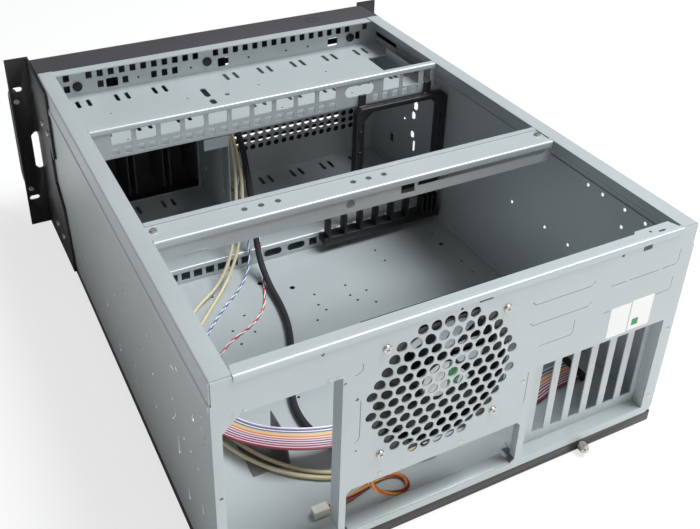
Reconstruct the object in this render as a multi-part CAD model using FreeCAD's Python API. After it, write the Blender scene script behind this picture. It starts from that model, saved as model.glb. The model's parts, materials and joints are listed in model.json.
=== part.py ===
import FreeCAD, Part
import math
import os

V = FreeCAD.Vector

# ---------------------------------------------------------------- driving dimensions, mm
# Places are measured on the case as it stands: "a" from the left side seen from behind,
# "d" forward from the rear face and "drop" down from the top edge.
CASE_W = 430.0            # body width between the rack ears
CASE_H = 221.5            # body height, five rack units less a clearance
CASE_D = 531.0            # rear face to the front sheet
SHEET = 1.2               # steel sheet
PAN_H = 12.0              # height of the bottom cover
BEZEL_D = 56.0            # depth of the moulded front
HANDLE_REACH = 38.0       # handle in front of the ears

FLANGE_W = 15.3           # side flanges of the open top
REAR_FLANGE_D = 11.5      # rear flange of the open top
FRONT_FLANGE_D = 13.0     # front flange of the open top
JOG_DROP = 20.0           # the walls step inwards by one sheet above this line
FLOOR_LIP = 8.3           # upturned sides of the floor

BAY_DEEP = 160.0          # drive bays from their rear face to the front sheet
CROSSBAR_FOLD = 6.0
UPPER_DROP = 33.0         # top face of the upper bay plate
LOWER_RISE = 19.8         # top face of the lower bay plate above the floor
BAY_PITCH = 43.9
BAY_COUNT = 4
BAY_LEFT = 3.6            # left edge of the first bay
BAY_HEAD = 5.0            # bays below the upper plate
PARTITION_BACK = 54.0     # rear edge of the bay partition in front of the crossbar
PARTITION_GAP = 0.2       # bay partition beside the last bay
PARTITION_FLANGE = 10.0

BRACE_D0 = 165.5          # rear edge of the brace
BRACE_WIDE = 29.8
BRACE_WEB = 20.0
BRACE_SCREW = 17.1        # brace screws in front of its rear edge
BRACE_SCREW_IN = 4.9      # brace screws in from its ends

FAN_DROP = 73.4           # rear fan centre
FAN_ASIDE = 2.0           # fan centre left of the port opening's middle
FAN_SIZE = 120.0
FAN_DEPTH = 25.0
FAN_RIM = 2.5             # frame left outside the fan's bore
FAN_HOLE_EDGE = 7.5       # fan screw holes in from the frame's sides
HUB_R = 19.0
BLADE_COUNT = 7
BLADE_PITCH = 38.0        # degrees
BLADE_GAP = 1.0           # between blade tips and bore
AXLE_R = 1.5
AXLE_GAP = 0.05
GRILLE_R = 63.8           # circle that holds the centres of the grille's holes
GRILLE_PITCH = 11.4
GRILLE_HOLE_R = 4.6
DISH_R = 60.0             # grille raised outwards inside this circle
DISH_SLOPE = 8.0          # width of its sloping rim
DISH_OUT = 2.8

PSU_A0 = 7.6              # left edge of the supply opening
PSU_WIDE = 91.4
PSU_TOP = 34.5
PSU_RISE = 14.5           # sill of the supply opening above the sheet's lower edge
PSU_FLANGE = 14.0
BRACKET_D = 129.0         # front edge of the supply bracket
BRACKET_LONG = 41.0
BRACKET_HIGH = 26.0

OPENING_GAP = 6.0         # strip of sheet between two openings
IO_HIGH = 48.5
IO_RISE = 7.5
IO_SIDE = 7.0             # depth of the port opening's right return
IO_SILL = 13.5            # depth of its sill

SLOT_MARGIN = 12.0        # right edge of the slot recess from the side
SLOT_HIGH = 106.0
SLOT_RISE = 8.5
SLOT_DEPTH = 12.0
SLOT_LEAD = 20.5          # first slot from the recess's left edge
SLOT_TAIL = 6.0           # last slot from the recess's right edge
SLOT_PITCH = 20.32
SLOT_WIDE = 12.9
SLOT_COUNT = 6
SLOT_HEAD = 13.5          # slots below the recess's roof
SLOT_FOOT = 11.0          # slots above its ledge

COMB_WIDE = 157.0
COMB_PITCH = 21.1
COMB_RISE = 26.5          # comb above the lower bay plate
HOLDER_WIDE = 119.5       # middle fan holder
HOLDER_GAP = 9.0          # between the holder and the comb

EAR_T = 3.0
EAR_EDGE = 1.8            # ear outside the handle
EAR_SLOT_A = 17.55        # slot centre outside the body
EAR_SLOT_DROP = 37.7      # upper slot
EAR_SLOT_SPAN = 146.05    # between the two slots
EAR_SLOT_LONG = 12.0
EAR_SLOT_HIGH = 6.6
EAR_BACK = 74.0           # ear plate behind the front sheet
HANDLE_CLEAR = 14.0       # handle feet from the slots
HANDLE_A = 20.0
HANDLE_BAR = 9.0
HANDLE_BEND = 12.0

BEZEL_WALL = 2.5
BEZEL_ROUND = 15.0
CONTROLS_IN = 20.6        # controls beside the bay partition
POWER_DROP = 60.0
RESET_DROP = 84.0
USB_DROP = 112.0
LED_DROP = 40.0
BUTTON_R = 6.0
RESET_R = 3.5
BUTTON_GAP = 0.25
BUTTON_TRAVEL = 1.6
BOARD_BACK = 20.0         # board behind the face of the moulded front
BOARD_T = 1.6
SWITCH_HIGH = 3.0

THUMB_IN = 83.0           # thumb screw from the right side
THUMB_RISE = 6.2          # and above the case's lower edge
THUMB_R = 4.6
REAR_OUT = 10.0           # thumb screw behind the rear face

USB_R = 2.0
LOOM_R = 3.5
PAIR_R = 1.3
LEAD_R = 2.0
RIBBON_W = 25.4
RIBBON_T = 1.0
SOCKET_W = 30.0
SOCKET_H = 6.4
SOCKET_L = 7.0
TIE_T = 0.5
TIE_W = 2.4

# ---------------------------------------------------------------- worked-out places
REAR_Y = (CASE_D + BEZEL_D + HANDLE_REACH - REAR_OUT) / 2.0
FLOOR_DROP = CASE_H - PAN_H - SHEET
BODY_DROP = CASE_H - PAN_H
LOWER_DROP = FLOOR_DROP - LOWER_RISE
BAY_TOP = UPPER_DROP + BAY_HEAD
BAY_BOTTOM = LOWER_DROP - 0.5
CROSSBAR_D = CASE_D - BAY_DEEP
PARTITION_D = CROSSBAR_D + PARTITION_BACK
PARTITION_A = BAY_LEFT + BAY_PITCH * BAY_COUNT + PARTITION_GAP
POWER_A = PARTITION_A + CONTROLS_IN
FRONT_FACE = CASE_D + BEZEL_D
EAR_FRONT = FRONT_FACE
EAR_REAR = CASE_D - EAR_BACK
EAR_REACH = HANDLE_A + HANDLE_BAR / 2.0 + EAR_EDGE
HANDLE_TOP = EAR_SLOT_DROP + HANDLE_CLEAR
HANDLE_BOTTOM = EAR_SLOT_DROP + EAR_SLOT_SPAN - HANDLE_CLEAR
BRACE_D1 = BRACE_D0 + BRACE_WIDE
BRACE_SCREW_D = BRACE_D0 + BRACE_SCREW
PSU_A1 = PSU_A0 + PSU_WIDE
PSU_BOTTOM = BODY_DROP - PSU_RISE
SLOT_A1 = CASE_W - SLOT_MARGIN
SLOT_A0 = SLOT_A1 - SLOT_TAIL - SLOT_WIDE - SLOT_PITCH * (SLOT_COUNT - 1) - SLOT_LEAD
SLOT_LEDGE = BODY_DROP - SLOT_RISE
SLOT_TOP = SLOT_LEDGE - SLOT_HIGH
SLOT_FIRST = SLOT_A0 + SLOT_LEAD
SLOT_OPEN_TOP = SLOT_TOP + SLOT_HEAD
SLOT_OPEN_BOTTOM = SLOT_LEDGE - SLOT_FOOT
IO_A0 = PSU_A1 + OPENING_GAP
IO_A1 = SLOT_A0 - OPENING_GAP
IO_BOTTOM = BODY_DROP - IO_RISE
IO_TOP = IO_BOTTOM - IO_HIGH
FAN_A = (IO_A0 + IO_A1) / 2.0 - FAN_ASIDE
FAN_D0 = SHEET
FAN_HOLE = FAN_SIZE / 2.0 - FAN_HOLE_EDGE
BORE_R = FAN_SIZE / 2.0 - FAN_RIM
BLADE_R = BORE_R - BLADE_GAP
BLADE_MID = FAN_D0 + 12.0
COMB_TOP = LOWER_DROP - COMB_RISE
FRONT_IN = CASE_D - SHEET
BOARD_D = EAR_FRONT - BOARD_BACK
SWITCH_D = BOARD_D + BOARD_T + SWITCH_HIGH
RIGHT_IN = CASE_W - SHEET
THUMB_A = CASE_W - THUMB_IN
THUMB_DROP = CASE_H - THUMB_RISE
TOP_A0 = SHEET + FLANGE_W + 0.4
TOP_A1 = CASE_W - TOP_A0
BRACE_SCREW_A = TOP_A0 + BRACE_SCREW_IN


def at(a, d, drop):
    """A place on the case as a point of the model's frame."""
    return V(CASE_W / 2.0 - a, REAR_Y - d, CASE_H - drop)


def left(a):
    """A distance from the left side, kept."""
    return a


def right(a):
    """The same distance from the right side."""
    return CASE_W - a


def block(a0, a1, d0, d1, top, bottom):
    """A rectangular solid between six faces."""
    low = at(a1, d1, bottom)
    high = at(a0, d0, top)
    size = high - low
    return Part.makeBox(size.x, size.y, size.z, low)


def prism(points, along):
    """A straight solid on a closed outline."""
    wire = Part.makePolygon(points + [points[0]])
    return Part.Face(wire).extrude(along)


def through_d(outline, d0, d1):
    """An outline of (a, drop) pairs run from depth d0 to d1."""
    return prism([at(a, d0, drop) for a, drop in outline], V(0, d0 - d1, 0))


def through_a(outline, a0, a1):
    """An outline of (d, drop) pairs run from a0 to a1."""
    return prism([at(a0, d, drop) for d, drop in outline], V(a0 - a1, 0, 0))


def through_drop(outline, top, bottom):
    """An outline of (a, d) pairs run down from top to bottom."""
    return prism([at(a, d, top) for a, d in outline], V(0, 0, top - bottom))


def rect(u0, u1, v0, v1):
    return [(u0, v0), (u1, v0), (u1, v1), (u0, v1)]


def disc(u, v, radius, corners=8):
    """A punched round hole, as a regular outline of the same area."""
    half = math.pi / corners
    reach = radius * math.sqrt(half / (math.sin(half) * math.cos(half)))
    turns = [2.0 * math.pi * (k + 0.5) / corners for k in range(corners)]
    return [(u + reach * math.cos(t), v + reach * math.sin(t)) for t in turns]


def cornered(u0, u1, v0, v1, cut):
    """A rectangle with its four corners cut off."""
    return [(u0 + cut, v0), (u1 - cut, v0), (u1, v0 + cut), (u1, v1 - cut),
            (u1 - cut, v1), (u0 + cut, v1), (u0, v1 - cut), (u0, v0 + cut)]


def obround(u0, u1, v0, v1):
    """A punched slot with round ends, drawn with two corners to each end's quarter."""
    cut = 0.3 * min(abs(u1 - u0), abs(v1 - v0))
    return cornered(min(u0, u1), max(u0, u1), min(v0, v1), max(v0, v1), cut)


def join(*pieces):
    """One solid from pieces that share faces."""
    whole = pieces[0].multiFuse(list(pieces[1:]))
    return whole.removeSplitter()


def without(body, tools):
    """The body with every tool cut away in one operation."""
    return body.cut(Part.makeCompound(tools))


def stud_d(a, drop, radius, d0, d1, corners=10):
    """A small round piece along the depth, as a regular prism."""
    return through_d(disc(a, drop, radius, corners), d0, d1)


def cylinder_d(a, drop, radius, d0, d1):
    """A round bar along the depth."""
    return Part.makeCylinder(radius, d1 - d0, at(a, d0, drop), V(0, -1, 0))


def stud_a(d, drop, radius, a0, a1):
    """A small round piece across the width, as a regular prism."""
    return through_a(disc(d, drop, radius, 10), a0, a1)


def stud_drop(a, d, radius, top, bottom):
    """A small round piece standing up, as a regular prism."""
    return through_drop(disc(a, d, radius, 10), top, bottom)


# ---------------------------------------------------------------- floor and walls
def floor_pan():
    """Floor sheet with two upturned sides and the punched board holes."""
    base = block(SHEET, RIGHT_IN, SHEET, FRONT_IN, FLOOR_DROP, BODY_DROP)
    lips = [block(a, a + SHEET, SHEET, FRONT_IN, FLOOR_DROP - FLOOR_LIP, FLOOR_DROP)
            for a in (SHEET, RIGHT_IN - SHEET)]
    rows = {334.5: (25.1, 105.5, 253.5, 310.1),
            312.0: (27.6, 105.3, 224.2),
            290.5: (169.1, 207.5, 290.8),
            272.5: (25.4, 152.1, 172.5, 211.6, 311.2),
            261.5: (169.0, 207.5, 290.7),
            250.0: (26.0, 152.4, 223.8, 310.6),
            157.0: (290.5,)}
    holes = [through_drop(disc(right(a), d, 1.9, 6), FLOOR_DROP - 1.0, BODY_DROP + 1.0)
             for d, row in rows.items() for a in row]
    return without(join(base, *lips), holes)


def wall_profile():
    """Section of a side wall: flange, step and wall, all one sheet thick."""
    return [(SHEET, 0.0), (SHEET + FLANGE_W, 0.0), (SHEET + FLANGE_W, SHEET), (2 * SHEET, SHEET),
             (2 * SHEET, JOG_DROP), (SHEET, JOG_DROP + SHEET), (SHEET, BODY_DROP), (0.0, BODY_DROP),
             (0.0, JOG_DROP + SHEET - 0.5), (SHEET, JOG_DROP - 0.5)]


def side_wall():
    """The left wall with its returns on the front and rear sheets and a seat for the brace."""
    wall = through_d(wall_profile(), SHEET, FRONT_IN)
    rear = block(SHEET, PSU_A0, SHEET, 2 * SHEET, JOG_DROP + 2 * SHEET, FLOOR_DROP - FLOOR_LIP)
    front = block(SHEET, 14.0, FRONT_IN - SHEET, FRONT_IN, UPPER_DROP + 21.2, LOWER_DROP - 15.0)
    seat = block(8.0, 30.0, BRACE_D0 + 5.0, BRACE_D1 - 5.0, SHEET, 2 * SHEET)
    return join(wall, rear, front, seat)


def mirrored(shape):
    """The same piece on the other side of the case."""
    return shape.mirror(at(CASE_W / 2.0, 0.0, 0.0), V(1, 0, 0))


def left_side_wall():
    """Left wall with the small punched slots of the slide rails."""
    wall = side_wall()
    cuts = [through_a(rect(d - 2.0, d + 2.0, drop - 5.0, drop + 5.0), -1.0, 2 * SHEET)
            for d in (40.0, 190.0, 340.0) for drop in (70.0, 150.0)]
    cuts += [through_a(disc(d, drop, 2.0, 6), -1.0, 2 * SHEET)
             for d in (20.0, 115.0, 265.0, 440.0) for drop in (50.0, 110.0, BODY_DROP - 34.5)]
    return without(wall, cuts)


def right_side_wall():
    """Right wall with rail slots near the front and small screw holes."""
    wall = mirrored(side_wall())
    beyond = (RIGHT_IN - SHEET, CASE_W + 1.0)
    small = [(126.1, 31.0), (106.5, 31.0), (77.5, 26.0), (52.2, 26.0), (77.3, 49.7),
             (138.1, 107.9), (173.9, 108.1), (228.4, 108.3), (450.0, 109.0)]
    cuts = [through_a(disc(d, drop, 2.0, 6), *beyond) for d, drop in small]
    near = CROSSBAR_D
    cuts += [through_a(obround(near + 51.0, near + 60.0, 75.0, 87.0), *beyond),
             through_a(obround(near + 55.0, near + 63.0, 91.0, 101.0), *beyond),
             through_a(obround(near + 55.0, near + 63.0, 118.0, 127.0), *beyond),
             through_a(rect(near + 52.0, near + 56.5, 130.0, 144.0), *beyond),
             through_a(rect(near + 103.0, near + 111.0, 144.0, 156.0), *beyond)]
    return without(wall, cuts)


# ---------------------------------------------------------------- rear
def grille_holes():
    """Staggered round holes over the raised field and its rim."""
    rise = GRILLE_PITCH * math.sqrt(3.0) / 2.0
    rows = int(GRILLE_R / rise)
    holes = []
    for row in range(-rows, rows + 1):
        shift = 0.5 * GRILLE_PITCH if row % 2 else 0.0
        for column in range(-rows, rows + 1):
            u = column * GRILLE_PITCH + shift
            v = row * rise
            if math.hypot(u, v) <= GRILLE_R:
                holes.append(disc(FAN_A + u, FAN_DROP + v, GRILLE_HOLE_R))
    return holes


def grille_dish(depth):
    """The raised field's form with its base at a depth, as a solid frustum."""
    return Part.makeCone(DISH_R, DISH_R - DISH_SLOPE, DISH_OUT, at(FAN_A, depth, FAN_DROP), V(0, 1, 0))


def slot_recess():
    """The set-back sheet behind the expansion slots, with its four walls."""
    face = SLOT_DEPTH + SHEET
    back = block(SLOT_A0, SLOT_A1, SLOT_DEPTH, face, SLOT_TOP, SLOT_LEDGE)
    near = block(SLOT_A0, SLOT_A0 + SHEET, SHEET, face, SLOT_TOP, SLOT_LEDGE)
    far = block(SLOT_A1 - SHEET, SLOT_A1, SHEET, face, SLOT_TOP, SLOT_LEDGE)
    roof = block(SLOT_A0, SLOT_A1, SHEET, face, SLOT_TOP, SLOT_TOP + SHEET)
    ledge = block(SLOT_A0, SLOT_A1, SHEET, face + 8.0, SLOT_LEDGE, SLOT_LEDGE + SHEET)
    box = join(back, near, far, roof, ledge)
    firsts = [SLOT_FIRST + SLOT_PITCH * k for k in range(SLOT_COUNT)]
    tall = (SLOT_OPEN_TOP, SLOT_OPEN_BOTTOM)
    windows = [through_d(rect(a, a + SLOT_WIDE, *tall), SLOT_DEPTH - 1.0, face + 1.0) for a in firsts]
    sill = (SLOT_LEDGE - 1.0, SLOT_LEDGE + 3.0)
    tangs = [through_drop(rect(a - 1.5, a + 3.5, face + 2.0, face + 5.0), *sill) for a in firsts]
    return without(box, windows + tangs)


def rear_panel():
    """Rear sheet with the top flange, fan grille, supply opening, port opening and slot recess."""
    sheet = through_d([(SHEET, 0.0), (CASE_W - SHEET, 0.0), (CASE_W - SHEET, JOG_DROP),
                       (CASE_W, JOG_DROP), (CASE_W, BODY_DROP - 6.0), (CASE_W - 6.0, BODY_DROP),
                       (0.0, BODY_DROP), (0.0, JOG_DROP), (SHEET, JOG_DROP)], 0.0, SHEET)
    flange = through_drop([(TOP_A0, SHEET), (TOP_A1, SHEET), (TOP_A1 - 4.0, REAR_FLANGE_D + 3.0),
                           (TOP_A1 - 40.0, REAR_FLANGE_D + 3.0), (TOP_A1 - 43.0, REAR_FLANGE_D),
                           (TOP_A0 + 2.0, REAR_FLANGE_D)], 0.0, SHEET)
    psu = through_d([(PSU_A0 + 12.0, PSU_TOP), (PSU_A1, PSU_TOP), (PSU_A1, PSU_BOTTOM),
                     (PSU_A0, PSU_BOTTOM), (PSU_A0, PSU_TOP + 12.0)], -1.0, 3 * SHEET)
    psu_flange = block(PSU_A1, PSU_A1 + SHEET, SHEET, PSU_FLANGE, PSU_TOP + 2.0, PSU_BOTTOM)
    io = through_d(cornered(IO_A0, IO_A1, IO_TOP, IO_BOTTOM, 4.0), -1.0, 3 * SHEET)
    io_ledge = block(IO_A0 + 4.0, IO_A1 - 4.0, SHEET, IO_SILL, IO_BOTTOM, IO_BOTTOM + SHEET)
    io_side = block(IO_A1, IO_A1 + SHEET, SHEET, IO_SIDE, IO_TOP + 4.0, IO_BOTTOM - 4.0)
    beyond = (-DISH_OUT - 1.0, SHEET + 1.0)
    mouth = through_d(rect(SLOT_A0 + SHEET, SLOT_A1 - SHEET, SLOT_TOP + SHEET, SLOT_LEDGE), *beyond)
    small = [(82.4, 5.8), (IO_A0 + 5.8, 60.8), (IO_A0 + 6.8, 112.6), (IO_A1 - 4.4, 107.9),
             (right(5.3), 109.5), (right(7.0), SLOT_OPEN_BOTTOM - 2.0), (right(80.2), 6.5)]
    cuts = [psu, io, mouth]
    cuts += [through_d(outline, *beyond) for outline in grille_holes()]
    cuts += [through_d(disc(FAN_A + u, FAN_DROP + v, 2.5), *beyond)
             for u in (-FAN_HOLE, FAN_HOLE) for v in (-FAN_HOLE, FAN_HOLE)]
    cuts += [through_d(disc(a, drop, 1.5, 6), *beyond) for a, drop in small]
    cuts.append(through_d(rect(FAN_A + 24.4, FAN_A + 38.4, 4.0, 7.0), *beyond))
    cuts.append(through_d(rect(right(59.0), right(49.5), 3.0, 9.0), *beyond))
    raised = join(sheet, flange).fuse(grille_dish(0.0)).cut(grille_dish(SHEET))
    pierced = without(raised, cuts)
    return join(pierced, psu_flange, io_ledge, io_side, slot_recess())


# ---------------------------------------------------------------- front sheet and drive bays
def front_panel():
    """Front sheet with the bay window, the square cooling holes and the round vent holes."""
    sheet = block(SHEET, CASE_W - SHEET, FRONT_IN, CASE_D, 0.0, BODY_DROP)
    flange = block(TOP_A0, TOP_A1, CASE_D - FRONT_FLANGE_D, FRONT_IN, 0.0, SHEET)
    beyond = (FRONT_IN - 1.0, CASE_D + 1.0)
    bay_right = PARTITION_A - 2.0
    cuts = [through_d(rect(16.0, bay_right, BAY_TOP, BAY_BOTTOM), *beyond)]
    pitch = 12.7
    left = 26.5
    skipped = (1, 13, 29)
    cuts += [through_d(rect(left + pitch * k, left + pitch * k + 7.0, 5.5, 14.5), *beyond)
             for k in range(int((CASE_W - 9.0 - left) / pitch)) if k not in skipped]
    cuts += [through_d(rect(a, a + 7.0, 19.5, 28.0), *beyond)
             for a in (26.1, 64.3, 93.2, 127.3, 140.1, 152.6)]
    cuts += [through_d(rect(a, a + 14.0, 18.5, 29.5), *beyond) for a in (74.2, 210.0, CASE_W - 72.0)]
    cuts.append(through_d(rect(CASE_W - 32.5, CASE_W - 25.4, 15.5, 26.0), *beyond))
    vent_pitch = 10.97
    vent_rise = 10.2
    vent_left = CASE_W - 199.3
    vent_top = 128.7
    cuts += [through_d(disc(vent_left + vent_pitch * c, vent_top + vent_rise * r, 3.9, 6), *beyond)
             for c in range(16) for r in range(3)]
    return without(join(sheet, flange), cuts)


def plate_slots(rows, top, bottom, skipped=()):
    """Pairs of long slots on the bay pitch, cut through a bay plate."""
    first = BAY_LEFT + 37.8
    apart = 12.2
    wide = 4.5
    pairs = [first + BAY_PITCH * k for k in range(9) if k not in skipped]
    middles = [a + u for a in pairs for u in (-apart / 2.0, apart / 2.0)
               if a + u + wide / 2.0 < right(20.0)]
    return [through_drop(rect(u - wide / 2.0, u + wide / 2.0, d, d + 19.0), top, bottom)
            for u in middles for d in rows]


def upper_bay_plate():
    """Top of the drive bays, folded up into the windowed crossbar at its rear edge."""
    plate = block(SHEET, RIGHT_IN, CROSSBAR_D, FRONT_IN, UPPER_DROP, UPPER_DROP + SHEET)
    sides = [block(a, a + SHEET, CROSSBAR_D + 8.0, FRONT_IN - 2.0, UPPER_DROP + SHEET, UPPER_DROP + 14.0)
             for a in (SHEET, RIGHT_IN - SHEET)]
    web = block(TOP_A0, TOP_A1, CROSSBAR_D, CROSSBAR_D + SHEET, 0.0, UPPER_DROP)
    fold = block(TOP_A0, TOP_A1, CROSSBAR_D, CROSSBAR_D + CROSSBAR_FOLD, 0.0, SHEET)
    beyond = (CROSSBAR_D - 1.0, CROSSBAR_D + SHEET + 1.0)
    first = 37.7
    inch = 25.4
    oval = CASE_W - 132.0
    count = int((oval - first) / inch)
    big = (2.0, UPPER_DROP - 15.0)
    bigger = (2.0, UPPER_DROP - 12.5)
    low = (UPPER_DROP - 10.5, UPPER_DROP - 2.2)
    firsts = [first + inch * k for k in range(count)]
    cuts = [through_d(rect(a, a + 20.5, *big), *beyond) for a in firsts]
    cuts += [through_d(obround(oval, oval + 36.5, UPPER_DROP - 25.4, UPPER_DROP - 10.4), *beyond)]
    cuts += [through_d(rect(right(a), right(a - 21.0), *bigger), *beyond) for a in (83.6, 58.3)]
    cuts += [through_d(rect(right(31.4), right(19.0), *bigger), *beyond)]
    small = [first - 0.4 + inch / 2.0 * k for k in range(2 * count)]
    small += [oval + 35.0 + inch / 2.0 * k for k in range(5)]
    cuts += [through_d(rect(a, a + 7.6, *low), *beyond) for a in small]
    through = (UPPER_DROP - 1.0, UPPER_DROP + SHEET + 1.0)
    cuts += plate_slots((CROSSBAR_D + 46.0, FRONT_IN - 32.8), *through, skipped=(3,))
    cutout = (CROSSBAR_D + 47.0, CROSSBAR_D + 112.5)
    beside = (PARTITION_A - 9.4, PARTITION_A - 2.4)
    notch = (PARTITION_A + 12.6, PARTITION_A + 17.6)
    cuts += [through_drop(obround(*beside, CROSSBAR_D + 93.0, CROSSBAR_D + 117.0), *through),
             through_drop(obround(*beside, CROSSBAR_D + 73.0, CROSSBAR_D + 86.0), *through),
             through_drop(rect(*notch, CROSSBAR_D + 88.0, CROSSBAR_D + 93.0), *through),
             through_drop(rect(right(40.0), right(13.6), *cutout), *through)]
    lip = block(right(13.6), right(13.6) + SHEET, *cutout, UPPER_DROP - 9.0, UPPER_DROP)
    return join(without(join(plate, web, fold, *sides), cuts), lip)


def lower_bay_plate():
    """Bottom of the drive bays, folded down to the floor at its rear edge."""
    plate = block(SHEET, RIGHT_IN, CROSSBAR_D, FRONT_IN, LOWER_DROP, LOWER_DROP + SHEET)
    sides = [block(a, a + SHEET, CROSSBAR_D + 8.0, FRONT_IN - 2.0, LOWER_DROP - 12.0, LOWER_DROP)
             for a in (SHEET, RIGHT_IN - SHEET)]
    between = (2 * SHEET, RIGHT_IN - SHEET)
    strip = block(*between, CROSSBAR_D, CROSSBAR_D + SHEET, LOWER_DROP, FLOOR_DROP)
    foot = block(*between, CROSSBAR_D, CROSSBAR_D + 12.0, FLOOR_DROP - SHEET, FLOOR_DROP)
    beyond = (CROSSBAR_D - 1.0, CROSSBAR_D + SHEET + 0.5)
    row = (LOWER_DROP + 5.5, FLOOR_DROP - 4.3)
    cuts = [through_d(rect(26.0 + 14.35 * k, 36.0 + 14.35 * k, row[0], row[1] + 0.5), *beyond)
            for k in range(11)]
    cuts += [through_d(obround(a, a + 22.5, *row), *beyond) for a in (197.6, 227.3, 272.0)]
    cuts += [through_d(rect(255.5, 265.7, *row), *beyond)]
    through = (LOWER_DROP - 1.0, LOWER_DROP + SHEET + 1.0)
    cuts += plate_slots((FRONT_IN - 30.8,), *through, skipped=(3,))
    return without(join(plate, strip, foot, *sides), cuts)


def bay_partition():
    """Upright sheet beside the drive bays, flanged onto both plates and the front sheet."""
    top = UPPER_DROP + SHEET
    face = PARTITION_A + SHEET
    side = block(PARTITION_A, face, PARTITION_D, FRONT_IN, top, LOWER_DROP)
    flange = (face, face + PARTITION_FLANGE, PARTITION_D + 4.0, FRONT_IN)
    upper = block(*flange, top, top + SHEET)
    lower = block(*flange, LOWER_DROP - SHEET, LOWER_DROP)
    tab = block(PARTITION_A - 28.4, PARTITION_A, PARTITION_D, PARTITION_D + SHEET, 65.0, 79.0)
    holes = [through_a(disc(d, drop, 2.0, 6), PARTITION_A - 1.0, face + 1.0)
             for d in (PARTITION_D + 20.0, PARTITION_D + 80.0) for drop in (60.0, 150.0)]
    return without(join(side, upper, lower, tab), holes)


def cross_brace():
    """Inverted channel across the open top, seated on the wall tabs."""
    top = block(TOP_A0, TOP_A1, BRACE_D0, BRACE_D1, 0.0, SHEET)
    rear = block(TOP_A0, TOP_A1, BRACE_D0, BRACE_D0 + SHEET, 0.0, BRACE_WEB)
    front = block(TOP_A0, TOP_A1, BRACE_D1 - SHEET, BRACE_D1, 0.0, BRACE_WEB)
    cuts = [through_drop(disc(a, BRACE_SCREW_D - 0.9, 3.0), -1.0, SHEET + 1.0)
            for a in (100.4, 115.7, 131.3, 204.2, 219.7, 235.5)]
    cuts += [through_drop(disc(side(BRACE_SCREW_A), BRACE_SCREW_D, 1.8), -1.0, SHEET + 1.0)
             for side in (left, right)]
    beyond = (BRACE_D0 - 1.0, BRACE_D0 + SHEET + 1.0)
    cuts += [through_d(disc(193.5, 11.2, 4.5), *beyond),
             through_d(rect(244.7, 259.0, 3.8, 15.3), *beyond),
             through_d(obround(262.0, right(25.0), 5.8, 10.6), *beyond)]
    return without(join(top, rear, front), cuts)


def card_comb():
    """Moulded comb that steadies the front ends of long expansion cards."""
    first = right(COMB_WIDE + 5.0)
    near = CROSSBAR_D - 17.0
    far = CROSSBAR_D - 4.5
    base = block(first, right(5.0), near, CROSSBAR_D, LOWER_DROP, LOWER_DROP + 9.5)
    outline = [(near, COMB_TOP), (far - 3.5, COMB_TOP), (far, COMB_TOP + 4.0),
               (far, LOWER_DROP), (near, LOWER_DROP)]
    fins = [through_a(outline, first + 4.7 + COMB_PITCH * k, first + 7.7 + COMB_PITCH * k)
            for k in range(SLOT_COUNT)]
    block_fins = [through_a(rect(near, far, COMB_TOP + 4.0, LOWER_DROP), right(a), right(a - 2.2))
                  for a in (30.0, 23.5, 17.0, 10.5)]
    return join(base, *fins, *block_fins)


def fan_bracket():
    """Moulded holder for a middle fan, hooked into the crossbar."""
    a0 = right(HOLDER_WIDE + 2.0)
    a1 = right(2.0)
    bottom = COMB_TOP - HOLDER_GAP
    near = CROSSBAR_D - 10.0
    outer = cornered(a0, a1, UPPER_DROP, bottom, 6.0)
    inner = cornered(a0 + 10.3, a1 - 12.0, UPPER_DROP + 6.0, bottom - 8.0, 10.0)
    frame = through_d(outer, near, CROSSBAR_D).cut(through_d(inner, near - 1.0, CROSSBAR_D + 1.0))
    hooks = [block(a - 4.5, a + 4.5, CROSSBAR_D - 2.5, CROSSBAR_D, UPPER_DROP - 13.5, UPPER_DROP)
             for a in (a0 + 10.5, a1 - 24.0)]
    return join(frame, *hooks)


def psu_bracket():
    """Folded support for the inner end of the supply: a foot on the floor and an upright side."""
    near = BRACKET_D - BRACKET_LONG
    top = FLOOR_DROP - BRACKET_HIGH
    foot = block(PSU_A1 - 35.0, PSU_A1, near, BRACKET_D, FLOOR_DROP - SHEET, FLOOR_DROP)
    upright = through_a([(near, FLOOR_DROP), (near + 11.0, top), (BRACKET_D, top), (BRACKET_D, FLOOR_DROP)],
                        PSU_A1 - SHEET, PSU_A1)
    return join(foot, upright)


# ---------------------------------------------------------------- bottom cover
def bottom_cover():
    """Shallow pan under the floor with a screw boss on its rear edge."""
    outer = block(0.0, CASE_W, 0.0, CASE_D, BODY_DROP, CASE_H)
    inner = block(SHEET, CASE_W - SHEET, SHEET, CASE_D - SHEET, BODY_DROP, CASE_H - SHEET)
    hole = stud_d(THUMB_A, THUMB_DROP, 2.1, -1.0, SHEET + 1.0)
    return outer.cut(inner).cut(hole)


def thumb_screw():
    """Knurled screw that holds the bottom cover."""
    head = through_d(disc(THUMB_A, THUMB_DROP, THUMB_R, 16), -8.0, -1.5)
    collar = stud_d(THUMB_A, THUMB_DROP, 3.4, -1.5, 0.0)
    shank = stud_d(THUMB_A, THUMB_DROP, 1.7, 0.0, 7.0)
    tip = stud_d(THUMB_A, THUMB_DROP, 2.6, -REAR_OUT, -8.0)
    return join(head, collar, shank, tip)


# ---------------------------------------------------------------- moulded front
def bay_span(k):
    """Left and right edge of the opening for the numbered bay."""
    first = BAY_LEFT + BAY_PITCH * k + 1.4
    return max(first, 8.0), first + BAY_PITCH - 2.8


def bezel_outline(inset):
    """Side outline of the moulded front with its upper front edge rounded."""
    face = FRONT_FACE - inset
    top = inset
    radius = BEZEL_ROUND - inset
    steps = 5
    turns = [math.pi / 2.0 * k / steps for k in range(steps + 1)]
    curve = [(face - radius + radius * math.sin(t), top + radius - radius * math.cos(t)) for t in turns]
    return [(CASE_D, top)] + curve + [(face, CASE_H - inset), (CASE_D, CASE_H - inset)]


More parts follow.
